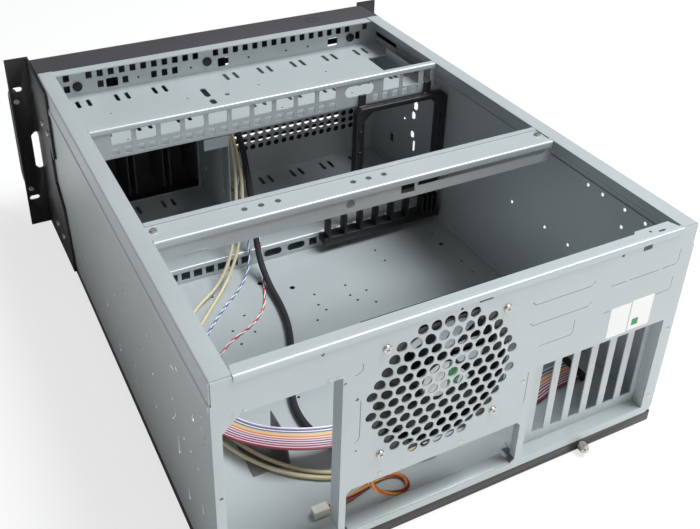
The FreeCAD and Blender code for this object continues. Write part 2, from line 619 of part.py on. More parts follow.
def bezel():
    """Moulded front with openings for the drive bays, controls and air."""
    shell = through_a(bezel_outline(0.0), 0.0, CASE_W)
    hollow = through_a(bezel_outline(BEZEL_WALL), BEZEL_WALL, CASE_W - BEZEL_WALL)
    beyond = (FRONT_FACE - BEZEL_WALL - 1.0, FRONT_FACE + 1.0)
    cuts = [hollow]
    for k in range(BAY_COUNT):
        cuts.append(through_d(rect(*bay_span(k), BAY_TOP, BAY_BOTTOM), *beyond))
    cuts += [through_d(rect(POWER_A + 40.0, right(20.0), 40.0 + 12.0 * k, 45.0 + 12.0 * k), *beyond)
             for k in range(12)]
    cuts.append(stud_d(POWER_A, POWER_DROP, BUTTON_R + BUTTON_GAP, *beyond, 16))
    cuts.append(stud_d(POWER_A, RESET_DROP, RESET_R + BUTTON_GAP, *beyond, 16))
    cuts += [stud_d(POWER_A + u, LED_DROP, 1.6, *beyond, 8) for u in (-8.0, 0.0, 8.0)]
    cuts += [through_d(rect(POWER_A - 3.0, POWER_A + 3.0, USB_DROP + v, USB_DROP + v + 13.4), *beyond)
             for v in (0.0, 20.0)]
    return without(shell, cuts)


def bay_cover(k):
    """Snap-in cover of one drive bay with its side ribs running back through the front sheet."""
    first, last = bay_span(k)
    inner = FRONT_FACE - BEZEL_WALL
    plate = block(first, last, inner, FRONT_FACE, BAY_TOP, BAY_BOTTOM)
    outline = [(CASE_D - 6.0, BAY_TOP + 12.0), (inner, BAY_TOP + 4.0),
               (inner, BAY_BOTTOM - 4.0), (CASE_D - 6.0, BAY_BOTTOM - 12.0)]
    places = (max(first + 2.0, 17.0), min(last - 3.5, PARTITION_A - 6.0))
    ribs = [through_a(outline, a, a + 1.8) for a in places]
    return join(plate, *ribs)


def button(drop, radius):
    """Round push button with a retaining collar behind the front."""
    inner = FRONT_FACE - BEZEL_WALL
    cap = stud_d(POWER_A, drop, radius, inner - 1.0, FRONT_FACE + 1.5, 16)
    collar = stud_d(POWER_A, drop, radius + 1.5, inner - 2.5, inner - 0.3, 16)
    stem = stud_d(POWER_A, drop, 1.5, SWITCH_D + BUTTON_TRAVEL, inner - 2.0, 8)
    return join(cap, collar, stem)


def front_board():
    """Small circuit board behind the controls, standing on two posts from the front sheet."""
    board = block(POWER_A - 13.0, POWER_A + 13.0, BOARD_D, BOARD_D + BOARD_T, 32.0, 152.0)
    posts = [stud_d(POWER_A - 9.0, drop, 3.0, CASE_D, BOARD_D, 6) for drop in (50.0, 146.0)]
    switches = [block(POWER_A - 3.0, POWER_A + 3.0, BOARD_D + BOARD_T, SWITCH_D, drop - 3.0, drop + 3.0)
                for drop in (POWER_DROP, RESET_DROP)]
    return join(board, *posts, *switches)


def usb_sockets():
    """Two upright sockets on the board, open to the front."""
    shells = []
    for v in (0.0, 20.0):
        top = USB_DROP + v
        base = BOARD_D + BOARD_T
        outer = block(POWER_A - 2.9, POWER_A + 2.9, base, FRONT_FACE - 1.0, top + 0.1, top + 13.3)
        inner = block(POWER_A - 2.4, POWER_A + 2.4, base + 2.4, FRONT_FACE, top + 0.6, top + 12.8)
        shells.append(outer.cut(inner))
    return Part.makeCompound(shells)


def led_lenses():
    """Three clear lenses on the board."""
    lenses = [stud_d(POWER_A + u, LED_DROP, 1.4, BOARD_D + BOARD_T, FRONT_FACE + 0.3, 8)
              for u in (-8.0, 0.0, 8.0)]
    return Part.makeCompound(lenses)


# ---------------------------------------------------------------- rack ears and handles
def rack_slot(a, drop):
    """Round-ended slot through the front plate of an ear."""
    high = EAR_SLOT_HIGH / 2.0
    half = EAR_SLOT_LONG / 2.0 - high
    span = (EAR_FRONT - EAR_T - 1.0, EAR_FRONT + 1.0)
    middle = block(a - half, a + half, *span, drop - high, drop + high)
    ends = [cylinder_d(u, drop, high, *span) for u in (a - half, a + half)]
    return middle.multiFuse(ends)


def ear(side):
    """Folded steel ear: a side plate screwed to the wall and a slotted front plate."""
    outline = [(CASE_D - 45.0, 3.0), (EAR_FRONT, 0.0), (EAR_FRONT, CASE_H), (EAR_REAR, CASE_H - 4.5),
               (EAR_REAR, CASE_H - 29.5), (EAR_REAR + 13.0, 140.0), (CASE_D - 34.0, 118.0),
               (CASE_D - 32.0, 72.0), (CASE_D - 45.0, 84.0), (CASE_D - 49.0, 80.0), (CASE_D - 49.0, 7.0)]
    low, high = sorted((side(-EAR_T), side(0.0)))
    plate = through_a(outline, low, high)
    low, high = sorted((side(-EAR_REACH), side(0.0)))
    front = block(low, high, EAR_FRONT - EAR_T, EAR_FRONT, 0.0, CASE_H)
    slots = [rack_slot(side(-EAR_SLOT_A), drop) for drop in (EAR_SLOT_DROP, EAR_SLOT_DROP + EAR_SLOT_SPAN)]
    low, high = sorted((side(-EAR_T - 7.0), side(1.0)))
    crescent = through_d(cornered(low, high, 95.0, 145.0, 4.0), EAR_FRONT - 12.0, EAR_FRONT + 1.0)
    return without(join(plate, front), slots + [crescent])


def handle(side):
    """Bent round-bar handle with its two feet on the ear."""
    a = side(-HANDLE_A)
    face = EAR_FRONT + HANDLE_REACH - HANDLE_BAR / 2.0
    start = face - HANDLE_BEND
    inset = HANDLE_BEND * (1.0 - math.sqrt(0.5))
    upper = [at(a, start, HANDLE_TOP), at(a, face - inset, HANDLE_TOP + inset),
             at(a, face, HANDLE_TOP + HANDLE_BEND)]
    lower = [at(a, face, HANDLE_BOTTOM - HANDLE_BEND), at(a, face - inset, HANDLE_BOTTOM - inset),
             at(a, start, HANDLE_BOTTOM)]
    edges = [Part.LineSegment(at(a, EAR_FRONT, HANDLE_TOP), upper[0]).toShape(),
             Part.Arc(*upper).toShape(),
             Part.LineSegment(upper[-1], lower[0]).toShape(),
             Part.Arc(*lower).toShape(),
             Part.LineSegment(lower[-1], at(a, EAR_FRONT, HANDLE_BOTTOM)).toShape()]
    section = Part.Wire(Part.makeCircle(HANDLE_BAR / 2.0, at(a, EAR_FRONT, HANDLE_TOP), V(0, -1, 0)))
    return Part.Wire(edges).makePipeShell([section], True, True)


def ear_screws():
    """Four pan-head screws in each ear."""
    screws = []
    for side in (left, right):
        low, high = sorted((side(-EAR_T), side(-EAR_T - 2.2)))
        for back, drop in ((9.0, 55.0), (36.0, 55.0), (11.0, CASE_H - 33.5), (41.0, CASE_H - 33.5)):
            screws.append(stud_a(CASE_D - back, drop, 3.6, low, high))
    return Part.makeCompound(screws)


def handle_screws():
    """Two screws behind each handle."""
    screws = [stud_d(side(-HANDLE_A), drop, 3.4, EAR_FRONT - EAR_T - 2.4, EAR_FRONT - EAR_T)
              for side in (left, right)
              for drop in (HANDLE_TOP, HANDLE_BOTTOM)]
    return Part.makeCompound(screws)


def brace_screws():
    """A screw at each end of the brace."""
    screws = []
    for side in (left, right):
        a = side(BRACE_SCREW_A)
        head = stud_drop(a, BRACE_SCREW_D, 3.4, -1.8, 0.0)
        screws.append(head.fuse(stud_drop(a, BRACE_SCREW_D, 1.5, 0.0, SHEET)))
    return Part.makeCompound(screws)


def push_clips():
    """Round plastic clips on the inner face of the front sheet."""
    places = ((41.5, 22.0), (196.4, 20.0), (right(40.2), 22.0))
    clips = [stud_d(a, drop, 5.5, FRONT_IN - 3.0, FRONT_IN) for a, drop in places]
    return Part.makeCompound(clips)


# ---------------------------------------------------------------- rear fan
def fan_frame():
    """Square fan frame with four struts, a motor seat and a fixed axle."""
    half = FAN_SIZE / 2.0
    box = block(FAN_A - half, FAN_A + half, FAN_D0, FAN_D0 + FAN_DEPTH, FAN_DROP - half, FAN_DROP + half)
    bore = cylinder_d(FAN_A, FAN_DROP, BORE_R, FAN_D0 - 1.0, FAN_D0 + FAN_DEPTH + 1.0)
    waist = []
    for u in (-1, 1):
        waist.append(block(*sorted((FAN_A + u * (half - 2.0), FAN_A + u * (half + 1.0))),
                           FAN_D0 + 4.0, FAN_D0 + FAN_DEPTH - 4.0, FAN_DROP - 30.0, FAN_DROP + 30.0))
    ring = box.cut(bore).cut(Part.makeCompound(waist))
    back = FAN_D0 + FAN_DEPTH
    seat = cylinder_d(FAN_A, FAN_DROP, HUB_R, back - 3.0, back)
    strut_w = 2.0
    struts = [block(FAN_A - BORE_R - 1.0, FAN_A + BORE_R + 1.0, back - 3.0, back,
                    FAN_DROP - strut_w, FAN_DROP + strut_w),
              block(FAN_A - strut_w, FAN_A + strut_w, back - 3.0, back,
                    FAN_DROP - BORE_R - 1.0, FAN_DROP + BORE_R + 1.0)]
    axle = cylinder_d(FAN_A, FAN_DROP, AXLE_R, FAN_D0 + 6.0, back - 2.0)
    holes = [stud_d(FAN_A + u, FAN_DROP + v, 2.3, FAN_D0 - 1.0, back + 1.0, 8)
             for u in (-FAN_HOLE, FAN_HOLE) for v in (-FAN_HOLE, FAN_HOLE)]
    return without(join(ring, seat, *struts, axle), holes)


def blade(turn):
    """One pitched blade, wider at its tip, as a flat plate turned about its own arm."""
    root = HUB_R - 1.5
    tip = BLADE_R - 1.5
    thick = 1.4
    outline = [at(FAN_A - u, BLADE_MID - thick / 2.0, FAN_DROP - r)
               for u, r in ((-9.0, root), (9.0, root), (15.0, tip), (-15.0, tip))]
    shape = prism(outline, V(0, -thick, 0))
    shape.rotate(at(FAN_A, BLADE_MID, FAN_DROP), V(0, 0, 1), BLADE_PITCH)
    shape.rotate(at(FAN_A, 0.0, FAN_DROP), V(0, -1, 0), turn)
    return shape


def fan_rotor():
    """Hub with seven blades, bored for the axle."""
    hub = cylinder_d(FAN_A, FAN_DROP, HUB_R, FAN_D0 + 2.0, FAN_D0 + FAN_DEPTH - 4.0)
    blades = [blade(360.0 / BLADE_COUNT * k) for k in range(BLADE_COUNT)]
    bore = cylinder_d(FAN_A, FAN_DROP, AXLE_R + AXLE_GAP, FAN_D0 + 5.0, FAN_D0 + FAN_DEPTH)
    return hub.multiFuse(blades).cut(bore)


def fan_screws():
    """Four screws through the rear sheet into the fan frame."""
    screws = [stud_d(FAN_A + u, FAN_DROP + v, 3.6, -1.8, 0.0).fuse(
              stud_d(FAN_A + u, FAN_DROP + v, 1.8, 0.0, 11.0, 6))
              for u in (-FAN_HOLE, FAN_HOLE) for v in (-FAN_HOLE, FAN_HOLE)]
    return Part.makeCompound(screws)


# ---------------------------------------------------------------- cables inside the case
# Each route is a chosen list of (a, d, drop) points. USB leads, the sleeved loom and the two
# twisted pairs leave the front sheet beside the bay partition and lie on the floor.
USB_1 = [(184.5, 529.8, 50.0), (184.5, 492.0, 50.5), (184.6, 456.0, 56.0), (184.2, 424.0, 78.0),
         (177.0, 397.0, 112.0), (165.0, 374.0, 148.0), (150.0, 354.0, 180.0), (127.0, 339.0, 202.0),
         (98.0, 323.0, 205.8), (70.0, 290.0, 206.2), (46.0, 250.0, 206.0), (38.0, 205.0, 206.2),
         (44.0, 161.0, 205.9), (58.0, 118.0, 204.6), (81.0, 84.0, 204.6), (114.0, 59.0, 206.0),
         (150.0, 46.5, 206.0), (184.0, 42.0, 202.4), (206.0, 42.0, 202.0)]
USB_2 = [(189.5, 529.8, 54.0), (189.5, 492.0, 54.5), (189.3, 456.0, 60.0), (188.0, 424.0, 80.0),
         (184.0, 396.0, 110.0), (174.0, 376.0, 146.0), (160.0, 359.0, 180.0), (139.0, 342.0, 202.3),
         (112.0, 315.0, 205.7), (82.0, 283.0, 206.2), (60.0, 247.0, 206.0), (48.0, 206.0, 206.2),
         (52.0, 166.0, 205.9), (65.0, 124.0, 204.6), (86.0, 90.0, 204.6), (117.0, 64.0, 206.0),
         (152.0, 52.0, 206.0), (184.0, 50.0, 202.4), (206.0, 50.0, 202.0)]
LOOM = [(197.0, 529.8, 50.0), (197.0, 490.0, 50.5), (197.0, 452.0, 57.0), (195.0, 420.0, 82.0),
        (192.0, 396.0, 118.0), (188.0, 375.0, 156.0), (184.0, 354.0, 188.0), (182.0, 322.0, 203.0),
        (180.0, 285.0, 204.8), (172.0, 247.0, 204.6), (157.0, 210.0, 204.8), (139.0, 175.0, 204.6),
        (127.0, 140.0, 204.8), (130.0, 104.0, 204.6), (150.0, 76.0, 204.6), (180.0, 60.0, 203.8),
        (206.0, 60.0, 203.8)]
BLUE_PAIR = [(185.0, 529.8, 64.0), (185.0, 492.0, 64.5), (184.8, 456.0, 70.0), (184.5, 424.0, 92.0),
             (182.5, 398.0, 128.0), (180.0, 376.0, 168.0), (173.0, 354.0, 198.0), (152.0, 333.0, 206.7),
             (122.0, 308.0, 206.5), (92.0, 277.0, 206.7), (70.0, 240.0, 206.5), (68.0, 205.0, 206.6)]
RED_PAIR = [(191.0, 529.8, 64.0), (191.0, 492.0, 64.5), (191.0, 456.0, 70.0), (192.0, 424.0, 96.0),
            (193.5, 398.0, 136.0), (193.5, 374.0, 176.0), (187.0, 350.0, 202.0), (176.0, 320.0, 206.7),
            (163.0, 290.0, 206.5), (139.0, 269.0, 206.7), (107.0, 256.0, 206.5), (84.0, 231.0, 206.7),
            (81.0, 202.0, 206.6)]
LEAD = [(135.0, 17.5, 133.4), (135.0, 17.5, 154.0), (136.0, 17.8, 174.0), (143.0, 17.8, 190.0),
        (155.0, 17.5, 200.5), (170.6, 17.0, 205.8), (179.0, 22.5, 206.0), (179.0, 32.5, 206.0),
        (170.6, 38.0, 206.0), (156.0, 38.5, 205.8), (140.0, 34.0, 205.6), (122.0, 29.5, 204.0),
        (105.0, 29.0, 203.8)]
RIBBON = [(52.0, 200.0, 199.0), (52.0, 164.0, 199.0), (67.0, 125.0, 191.0), (91.0, 91.0, 178.4),
          (126.0, 76.0, 179.0), (166.0, 77.0, 187.0), (212.0, 80.0, 196.0), (256.0, 71.0, 202.6),
          (296.0, 60.0, 205.4), (334.0, 61.0, 205.6), (366.0, 71.0, 205.2), (396.0, 71.0, 205.2)]


def route_edges(points, name):
    """Straight runs joined by tangent arcs, each as large as its two runs allow."""
    spots = [at(*point) for point in points]
    edges = []
    radii = []
    start = spots[0]
    for before, corner, after in zip(spots, spots[1:], spots[2:]):
        into = (corner - before).normalize()
        out = (after - corner).normalize()
        half = into.getAngle(out) / 2.0
        reach = 0.45 * min((corner - before).Length, (after - corner).Length)
        first = corner - into * reach
        last = corner + out * reach
        radius = reach / math.tan(half)
        inward = (out - into).normalize()
        middle = corner + inward * (radius / math.cos(half) - radius)
        radii.append(radius)
        edges.append(Part.LineSegment(start, first).toShape())
        edges.append(Part.Arc(first, middle, last).toShape())
        start = last
    edges.append(Part.LineSegment(start, spots[-1]).toShape())
    length = sum(edge.Length for edge in edges)
    print("%s: %.0f mm long, arc radii %.0f to %.0f mm" % (name, length, min(radii), max(radii)))
    return edges


def tube(points, radius, name):
    """A plain tube on a route, its section a hexagon carried along run by run."""
    edges = route_edges(points, name)
    along = edges[0].tangentAt(edges[0].FirstParameter)
    helper = V(0, 0, 1) if abs(along.z) < 0.9 else V(0, 1, 0)
    across = along.cross(helper).normalize()
    upward = across.cross(along)
    start = at(*points[0])
    turns = [math.pi / 3.0 * k for k in range(6)]
    ring = [start + across * (radius * math.cos(t)) + upward * (radius * math.sin(t)) for t in turns]
    section = Part.Face(Part.makePolygon(ring + [ring[0]]))
    pieces = []
    for edge in edges:
        begin = edge.valueAt(edge.FirstParameter)
        end = edge.valueAt(edge.LastParameter)
        if isinstance(edge.Curve, Part.Line):
            pieces.append(section.extrude(end - begin))
            section.translate(end - begin)
        else:
            centre = edge.Curve.Center
            axis = (begin - centre).cross(end - centre).normalize()
            turn = math.degrees((begin - centre).getAngle(end - centre))
            pieces.append(section.revolve(centre, axis, turn))
            section.rotate(centre, axis, turn)
    whole = pieces[0].multiFuse(pieces[1:])
    return whole


def ribbon_cable():
    """Flat cable lying across the other cables, level all along."""
    path = Part.Wire(route_edges(RIBBON, "ribbon_cable"))
    first = at(*RIBBON[0])
    along = (at(*RIBBON[1]) - first).normalize()
    across = along.cross(V(0, 0, 1)).normalize() * (RIBBON_W / 2.0)
    upward = V(0, 0, RIBBON_T / 2.0)
    ring = [first - across - upward, first + across - upward,
            first + across + upward, first - across + upward]
    pipe = Part.BRepOffsetAPI.MakePipeShell(path)
    pipe.setBiNormalMode(V(0, 0, 1))
    pipe.add(Part.makePolygon(ring + [ring[0]]))
    pipe.build()
    pipe.makeSolid()
    return pipe.shape()


def plug(end, long, wide, high, lead_from):
    """A moulded plug whose rear face the cable meets."""
    a, d, drop = end
    across = (d - wide / 2.0, d + wide / 2.0)
    tall = (drop - high / 2.0, drop + high / 2.0)
    if lead_from == "left":
        return block(a, a + long, *across, *tall)
    if lead_from == "right":
        return block(a - long, a, *across, *tall)
    return block(a - wide / 2.0, a + wide / 2.0, d - long, d, *tall)


def cable_tie():
    """Narrow tie round the returning stretch of the fan lead, square to it."""
    start = at(*LEAD[9])
    end = at(*LEAD[10])
    along = (end - start).normalize()
    middle = (start + end) * 0.5
    outer = Part.makeCylinder(LEAD_R + TIE_T, TIE_W, middle - along * (TIE_W / 2.0), along)
    return outer.cut(Part.makeCylinder(LEAD_R + 0.1, 2.0 * TIE_W, middle - along * TIE_W, along))


def usb_plug():
    """One plug that both USB leads enter."""
    middle = [(u + v) / 2.0 for u, v in zip(USB_1[-1], USB_2[-1])]
    return plug(middle, 14.0, 14.0, 7.0, "left")


def ribbon_sockets():
    """A pressed-on socket across each end of the ribbon."""
    a, d, drop = RIBBON[0]
    wide = SOCKET_W / 2.0
    high = SOCKET_H / 2.0
    inner = block(a - wide, a + wide, d, d + SOCKET_L, drop - high, drop + high)
    a, d, drop = RIBBON[-1]
    outer = block(a, a + SOCKET_L, d - wide, d + wide, drop - high, FLOOR_DROP)
    return Part.makeCompound([inner, outer])


# ---------------------------------------------------------------- write every sub-part
PIECES = {
    "floor_pan": floor_pan,
    "left_side_wall": left_side_wall,
    "right_side_wall": right_side_wall,
    "rear_panel": rear_panel,
    "front_panel": front_panel,
    "upper_bay_plate": upper_bay_plate,
    "lower_bay_plate": lower_bay_plate,
    "bay_partition": bay_partition,
    "cross_brace": cross_brace,
    "card_comb": card_comb,
    "fan_bracket": fan_bracket,
    "psu_bracket": psu_bracket,
    "bottom_cover": bottom_cover,
    "thumb_screw": thumb_screw,
    "bezel": bezel,
    "bay_cover_1": lambda: bay_cover(0),
    "bay_cover_2": lambda: bay_cover(1),
    "bay_cover_3": lambda: bay_cover(2),
    "bay_cover_4": lambda: bay_cover(3),
    "power_button": lambda: button(POWER_DROP, BUTTON_R),
    "reset_button": lambda: button(RESET_DROP, RESET_R),
    "front_board": front_board,
    "usb_sockets": usb_sockets,
    "led_lenses": led_lenses,
    "ear_left": lambda: ear(left),
    "ear_right": lambda: ear(right),
    "handle_left": lambda: handle(left),
    "handle_right": lambda: handle(right),
    "ear_screws": ear_screws,
    "handle_screws": handle_screws,
    "brace_screws": brace_screws,
    "push_clips": push_clips,
    "fan_frame": fan_frame,
    "fan_rotor": fan_rotor,
    "fan_screws": fan_screws,
    "usb_cable_1": lambda: tube(USB_1, USB_R, "usb_cable_1"),
    "usb_cable_2": lambda: tube(USB_2, USB_R, "usb_cable_2"),
    "front_loom": lambda: tube(LOOM, LOOM_R, "front_loom"),
    "blue_white_pair": lambda: tube(BLUE_PAIR, PAIR_R, "blue_white_pair"),
    "red_white_pair": lambda: tube(RED_PAIR, PAIR_R, "red_white_pair"),
    "power_lead": lambda: tube(LEAD, LEAD_R, "power_lead"),
    "ribbon_cable": ribbon_cable,
    "usb_plug": usb_plug,
    "loom_plug": lambda: plug(LOOM[-1], 16.0, 9.0, 9.0, "left"),
    "blue_plug": lambda: plug(BLUE_PAIR[-1], 12.0, 6.0, 2.5, "front"),
    "red_plug": lambda: plug(RED_PAIR[-1], 12.0, 6.0, 2.5, "front"),
    "drive_connector": lambda: plug(LEAD[-1], 14.0, 8.0, 8.0, "right"),
    "ribbon_sockets": ribbon_sockets,
    "cable_tie": cable_tie,
}

os.makedirs("parts", exist_ok=True)
for name, make in PIECES.items():
    shape = make()
    shape.exportStep("parts/%s.step" % name)
    print(name, shape.isValid(), len(shape.Solids), round(shape.Volume))
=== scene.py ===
"""Looks of an empty rackmount server case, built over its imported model."""

import json
import logging
import math
from dataclasses import dataclass
from enum import Enum
from itertools import accumulate
from typing import Optional, Sequence

import bmesh
import bpy
from mathutils import Matrix, Vector

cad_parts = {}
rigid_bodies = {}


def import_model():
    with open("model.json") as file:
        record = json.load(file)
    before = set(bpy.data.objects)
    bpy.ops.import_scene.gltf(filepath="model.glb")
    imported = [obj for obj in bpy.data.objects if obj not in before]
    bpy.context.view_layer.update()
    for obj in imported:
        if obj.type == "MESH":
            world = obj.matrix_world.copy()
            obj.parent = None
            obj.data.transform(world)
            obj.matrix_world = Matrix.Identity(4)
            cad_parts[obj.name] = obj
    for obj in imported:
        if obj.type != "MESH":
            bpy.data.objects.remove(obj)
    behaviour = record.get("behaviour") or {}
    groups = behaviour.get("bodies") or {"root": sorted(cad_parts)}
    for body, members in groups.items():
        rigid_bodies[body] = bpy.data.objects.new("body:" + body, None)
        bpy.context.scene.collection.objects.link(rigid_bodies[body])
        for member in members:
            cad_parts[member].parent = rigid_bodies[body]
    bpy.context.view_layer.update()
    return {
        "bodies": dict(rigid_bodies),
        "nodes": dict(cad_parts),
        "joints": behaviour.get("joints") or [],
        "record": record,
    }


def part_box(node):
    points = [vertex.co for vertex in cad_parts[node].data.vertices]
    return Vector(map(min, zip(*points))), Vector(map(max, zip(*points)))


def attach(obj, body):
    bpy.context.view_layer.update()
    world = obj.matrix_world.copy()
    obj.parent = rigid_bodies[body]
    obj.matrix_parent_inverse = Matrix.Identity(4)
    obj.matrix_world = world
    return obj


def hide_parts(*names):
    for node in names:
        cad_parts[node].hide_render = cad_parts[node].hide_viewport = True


log = logging.getLogger("case")
Pair = tuple[float, float]
Place = tuple[float, float, float]
MM = 0.001
BODY = "chassis"
WELD = 1e-7  # metres: closer corners of a part are one
NODE_WELD = 2e-6  # metres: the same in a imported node's loose triangles
AXIS_WELD = 1e-4  # millimetres: the same on the axis of a turned part
CREASE = 0.7  # radians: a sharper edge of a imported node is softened
WIDE_HOLE = 3.0  # millimetres: a hole of a larger radius gets more facets
UPRIGHT = 1e-9  # metres: a cable whose first step leans less than this starts upright


@dataclass(frozen=True)
class Case:
    """Sizes in millimetres that several sub-assemblies share."""

    sheet: float = 1.2
    wide: float = 430.0
    deep: float = 531.0
    bottom: float = 209.5
    flange: float = 16.9
    fan_a: float = 186.0
    fan_drop: float = 73.4
    fan_screws: float = 105.0

    @property
    def right(self) -> float:
        """The right wall's inner face."""
        return self.wide - self.sheet

    @property
    def far(self) -> float:
        """The front sheet's inner face."""
        return self.deep - self.sheet

    @property
    def flange_right(self) -> float:
        """The right wall flange's free edge."""
        return self.wide - self.flange


CASE = Case()


# ---------------------------------------------------------------- places on the case
class Side(Enum):
    """The three ways in which a sheet of the case can face."""

    REAR = "across and down, at a depth"
    LEVEL = "across and forward, at a drop"
    FLANK = "forward and down, at a distance from the left"


@dataclass(frozen=True)
class Datum:
    """The corner of the case that every size is taken from, in metres."""

    left: float
    rear: float
    top: float

    def at(self, a: float, d: float, drop: float) -> Vector:
        """A place on the case as a point of the model.

        Args:
            a: Millimetres from the left side, seen from behind.
            d: Millimetres forward from the rear face.
            drop: Millimetres down from the top edge.

        Returns:
            The point in metres.
        """
        return Vector((self.left - a * MM, self.rear - d * MM, self.top - drop * MM))

    def frame(self, side: Side) -> Matrix:
        """The matrix that carries flat work in millimetres onto a side.

        Args:
            side: How the sheet faces.

        Returns:
            A matrix from (u, v, w) to the model.
        """
        across, forward, down = Vector((-MM, 0, 0)), Vector((0, -MM, 0)), Vector((0, 0, -MM))
        axes = {
            Side.REAR: (across, down, forward),
            Side.LEVEL: (across, forward, down),
            Side.FLANK: (forward, down, across),
        }[side]
        turn = Matrix(axes).transposed().to_4x4()
        turn.translation = Vector((self.left, self.rear, self.top))
        return turn


# ---------------------------------------------------------------- shader expressions
class Value:
    """A shader socket that takes part in Python expressions."""

    def __init__(self, coat: "Coat", socket: bpy.types.NodeSocket) -> None:
        """Wraps one output socket of a coat."""
        self.coat = coat
        self.socket = socket

    def _with(self, operation: str, *others: object) -> "Value":
        """Adds one Math node."""
        return self.coat.node("ShaderNodeMath", {"operation": operation}, (self, *others))

    def __add__(self, other: object) -> "Value":
        """Sum."""
        return self._with("ADD", other)

    __radd__ = __add__

    def __mul__(self, other: object) -> "Value":
        """Product."""
        return self._with("MULTIPLY", other)

    __rmul__ = __mul__

    def __sub__(self, other: object) -> "Value":
        """Difference."""
        return self._with("SUBTRACT", other)

    def __rsub__(self, other: object) -> "Value":
        """Difference the other way round."""
        return self.coat.node("ShaderNodeMath", {"operation": "SUBTRACT"}, (other, self))

    def __pow__(self, other: object) -> "Value":
        """Power."""
        return self._with("POWER", other)

    def above(self, level: float) -> "Value":
        """One where the value is greater than level, else nothing."""
        return self._with("GREATER_THAN", level)

    def wave(self) -> "Value":
        """Sine of the value."""
        return self._with("SINE")


class Coat:
    """A material under construction, with its Principled shader."""

    def __init__(self, name: str) -> None:
        """Starts an empty material.

        Args:
            name: The material's name.
        """
        self.material = bpy.data.materials.new(name)
        self.material.use_nodes = True
        self.tree = self.material.node_tree
        self.shader = self.tree.nodes["Principled BSDF"]

    def node(
        self, kind: str, settings: dict[str, object], inputs: object = (), output: object = 0
    ) -> Value:
        """Adds a node.

        Args:
            kind: The node's type.
            settings: Its properties, set first.
            inputs: Values or links by place or by socket name.
            output: The name or number of the output that is wanted.

        Returns:
            That output as a value.
        """
        made = self.tree.nodes.new(kind)
        for key, value in settings.items():
            if key == "stops":
                ramp = made.color_ramp.elements
                while len(ramp) < len(value):
                    ramp.new(1.0)
                for stop, (place, colour) in zip(ramp, value):
                    stop.position = place
                    stop.color = (*colour, 1.0)
            elif key == "interpolation" and kind == "ShaderNodeValToRGB":
                made.color_ramp.interpolation = value
            else:
                setattr(made, key, value)
        pairs = inputs.items() if isinstance(inputs, dict) else enumerate(inputs)
        for key, value in pairs:
            self.feed(made.inputs[key], value)
        return Value(self, made.outputs[output])

    def feed(self, socket: bpy.types.NodeSocket, value: object) -> None:
        """Sets a socket, or links it.

        Args:
            socket: The input socket.
            value: A number, a colour or another node's output.
        """
        if isinstance(value, Value):
            self.tree.links.new(value.socket, socket)
        elif isinstance(value, tuple) and len(value) == 3 and socket.type == "RGBA":
            socket.default_value = (*value, 1.0)
        else:
            socket.default_value = value

    def set(self, **sockets: object) -> None:
        """Sets the shader's own sockets, with underscores for spaces in their names."""
        for name, value in sockets.items():
            self.feed(self.shader.inputs[name.replace("_", " ")], value)

    def place(self) -> Value:
        """The object's own coordinates, in metres."""
        return self.node("ShaderNodeTexCoord", {}, (), "Object")

    def noise(
        self, scale: float, detail: float, rough: float = 0.5, at: Optional[Value] = None
    ) -> Value:
        """Cloudy noise.

        Args:
            scale: Cells to the metre.
            detail: Octaves.
            rough: Weight of the fine octaves.
            at: Coordinates, the object's own if none.

        Returns:
            The noise from 0 to 1.
        """
        spot = at or self.place()
        inputs = {"Vector": spot, "Scale": scale, "Detail": detail, "Roughness": rough}
        return self.node("ShaderNodeTexNoise", {}, inputs, "Fac")

    def stretched(self, scale: Place, turn: float) -> Value:
        """Coordinates turned about the vertical and then stretched.

        Args:
            scale: Stretch along each axis.
            turn: Turn in radians.

        Returns:
            The new coordinates.
        """
        inputs = {"Vector": self.place(), "Rotation": (0.0, 0.0, turn), "Scale": scale}
        return self.node("ShaderNodeMapping", {"vector_type": "POINT"}, inputs)

    def blend(self, factor: object, first: object, second: object) -> Value:
        """A colour between two.

        Args:
            factor: The share of the second, from 0 to 1.
            first: The colour at 0.
            second: The colour at 1.

        Returns:
            The mixed colour.
        """
        # A Mix node's colours are its inputs 6 and 7 and its output 2.
        inputs = {0: factor, 6: first, 7: second}
        return self.node("ShaderNodeMix", {"data_type": "RGBA"}, inputs, 2)

    def relief(self, height: Value, strength: float, depth: float) -> None:
        """Bumps the surface by a height."""
        inputs = {"Height": height, "Strength": strength, "Distance": depth}
        self.set(Normal=self.node("ShaderNodeBump", {}, inputs))


def shade(hexed: str) -> Place:
    """A colour written as on a screen, made linear.

    Args:
        hexed: Six hexadecimal digits.

    Returns:
        The linear red, green and blue.
    """
    parts = [int(hexed[k : k + 2], 16) / 255.0 for k in (0, 2, 4)]
    red, green, blue = (p / 12.92 if p <= 0.04045 else ((p + 0.055) / 1.055) ** 2.4 for p in parts)
    return red, green, blue


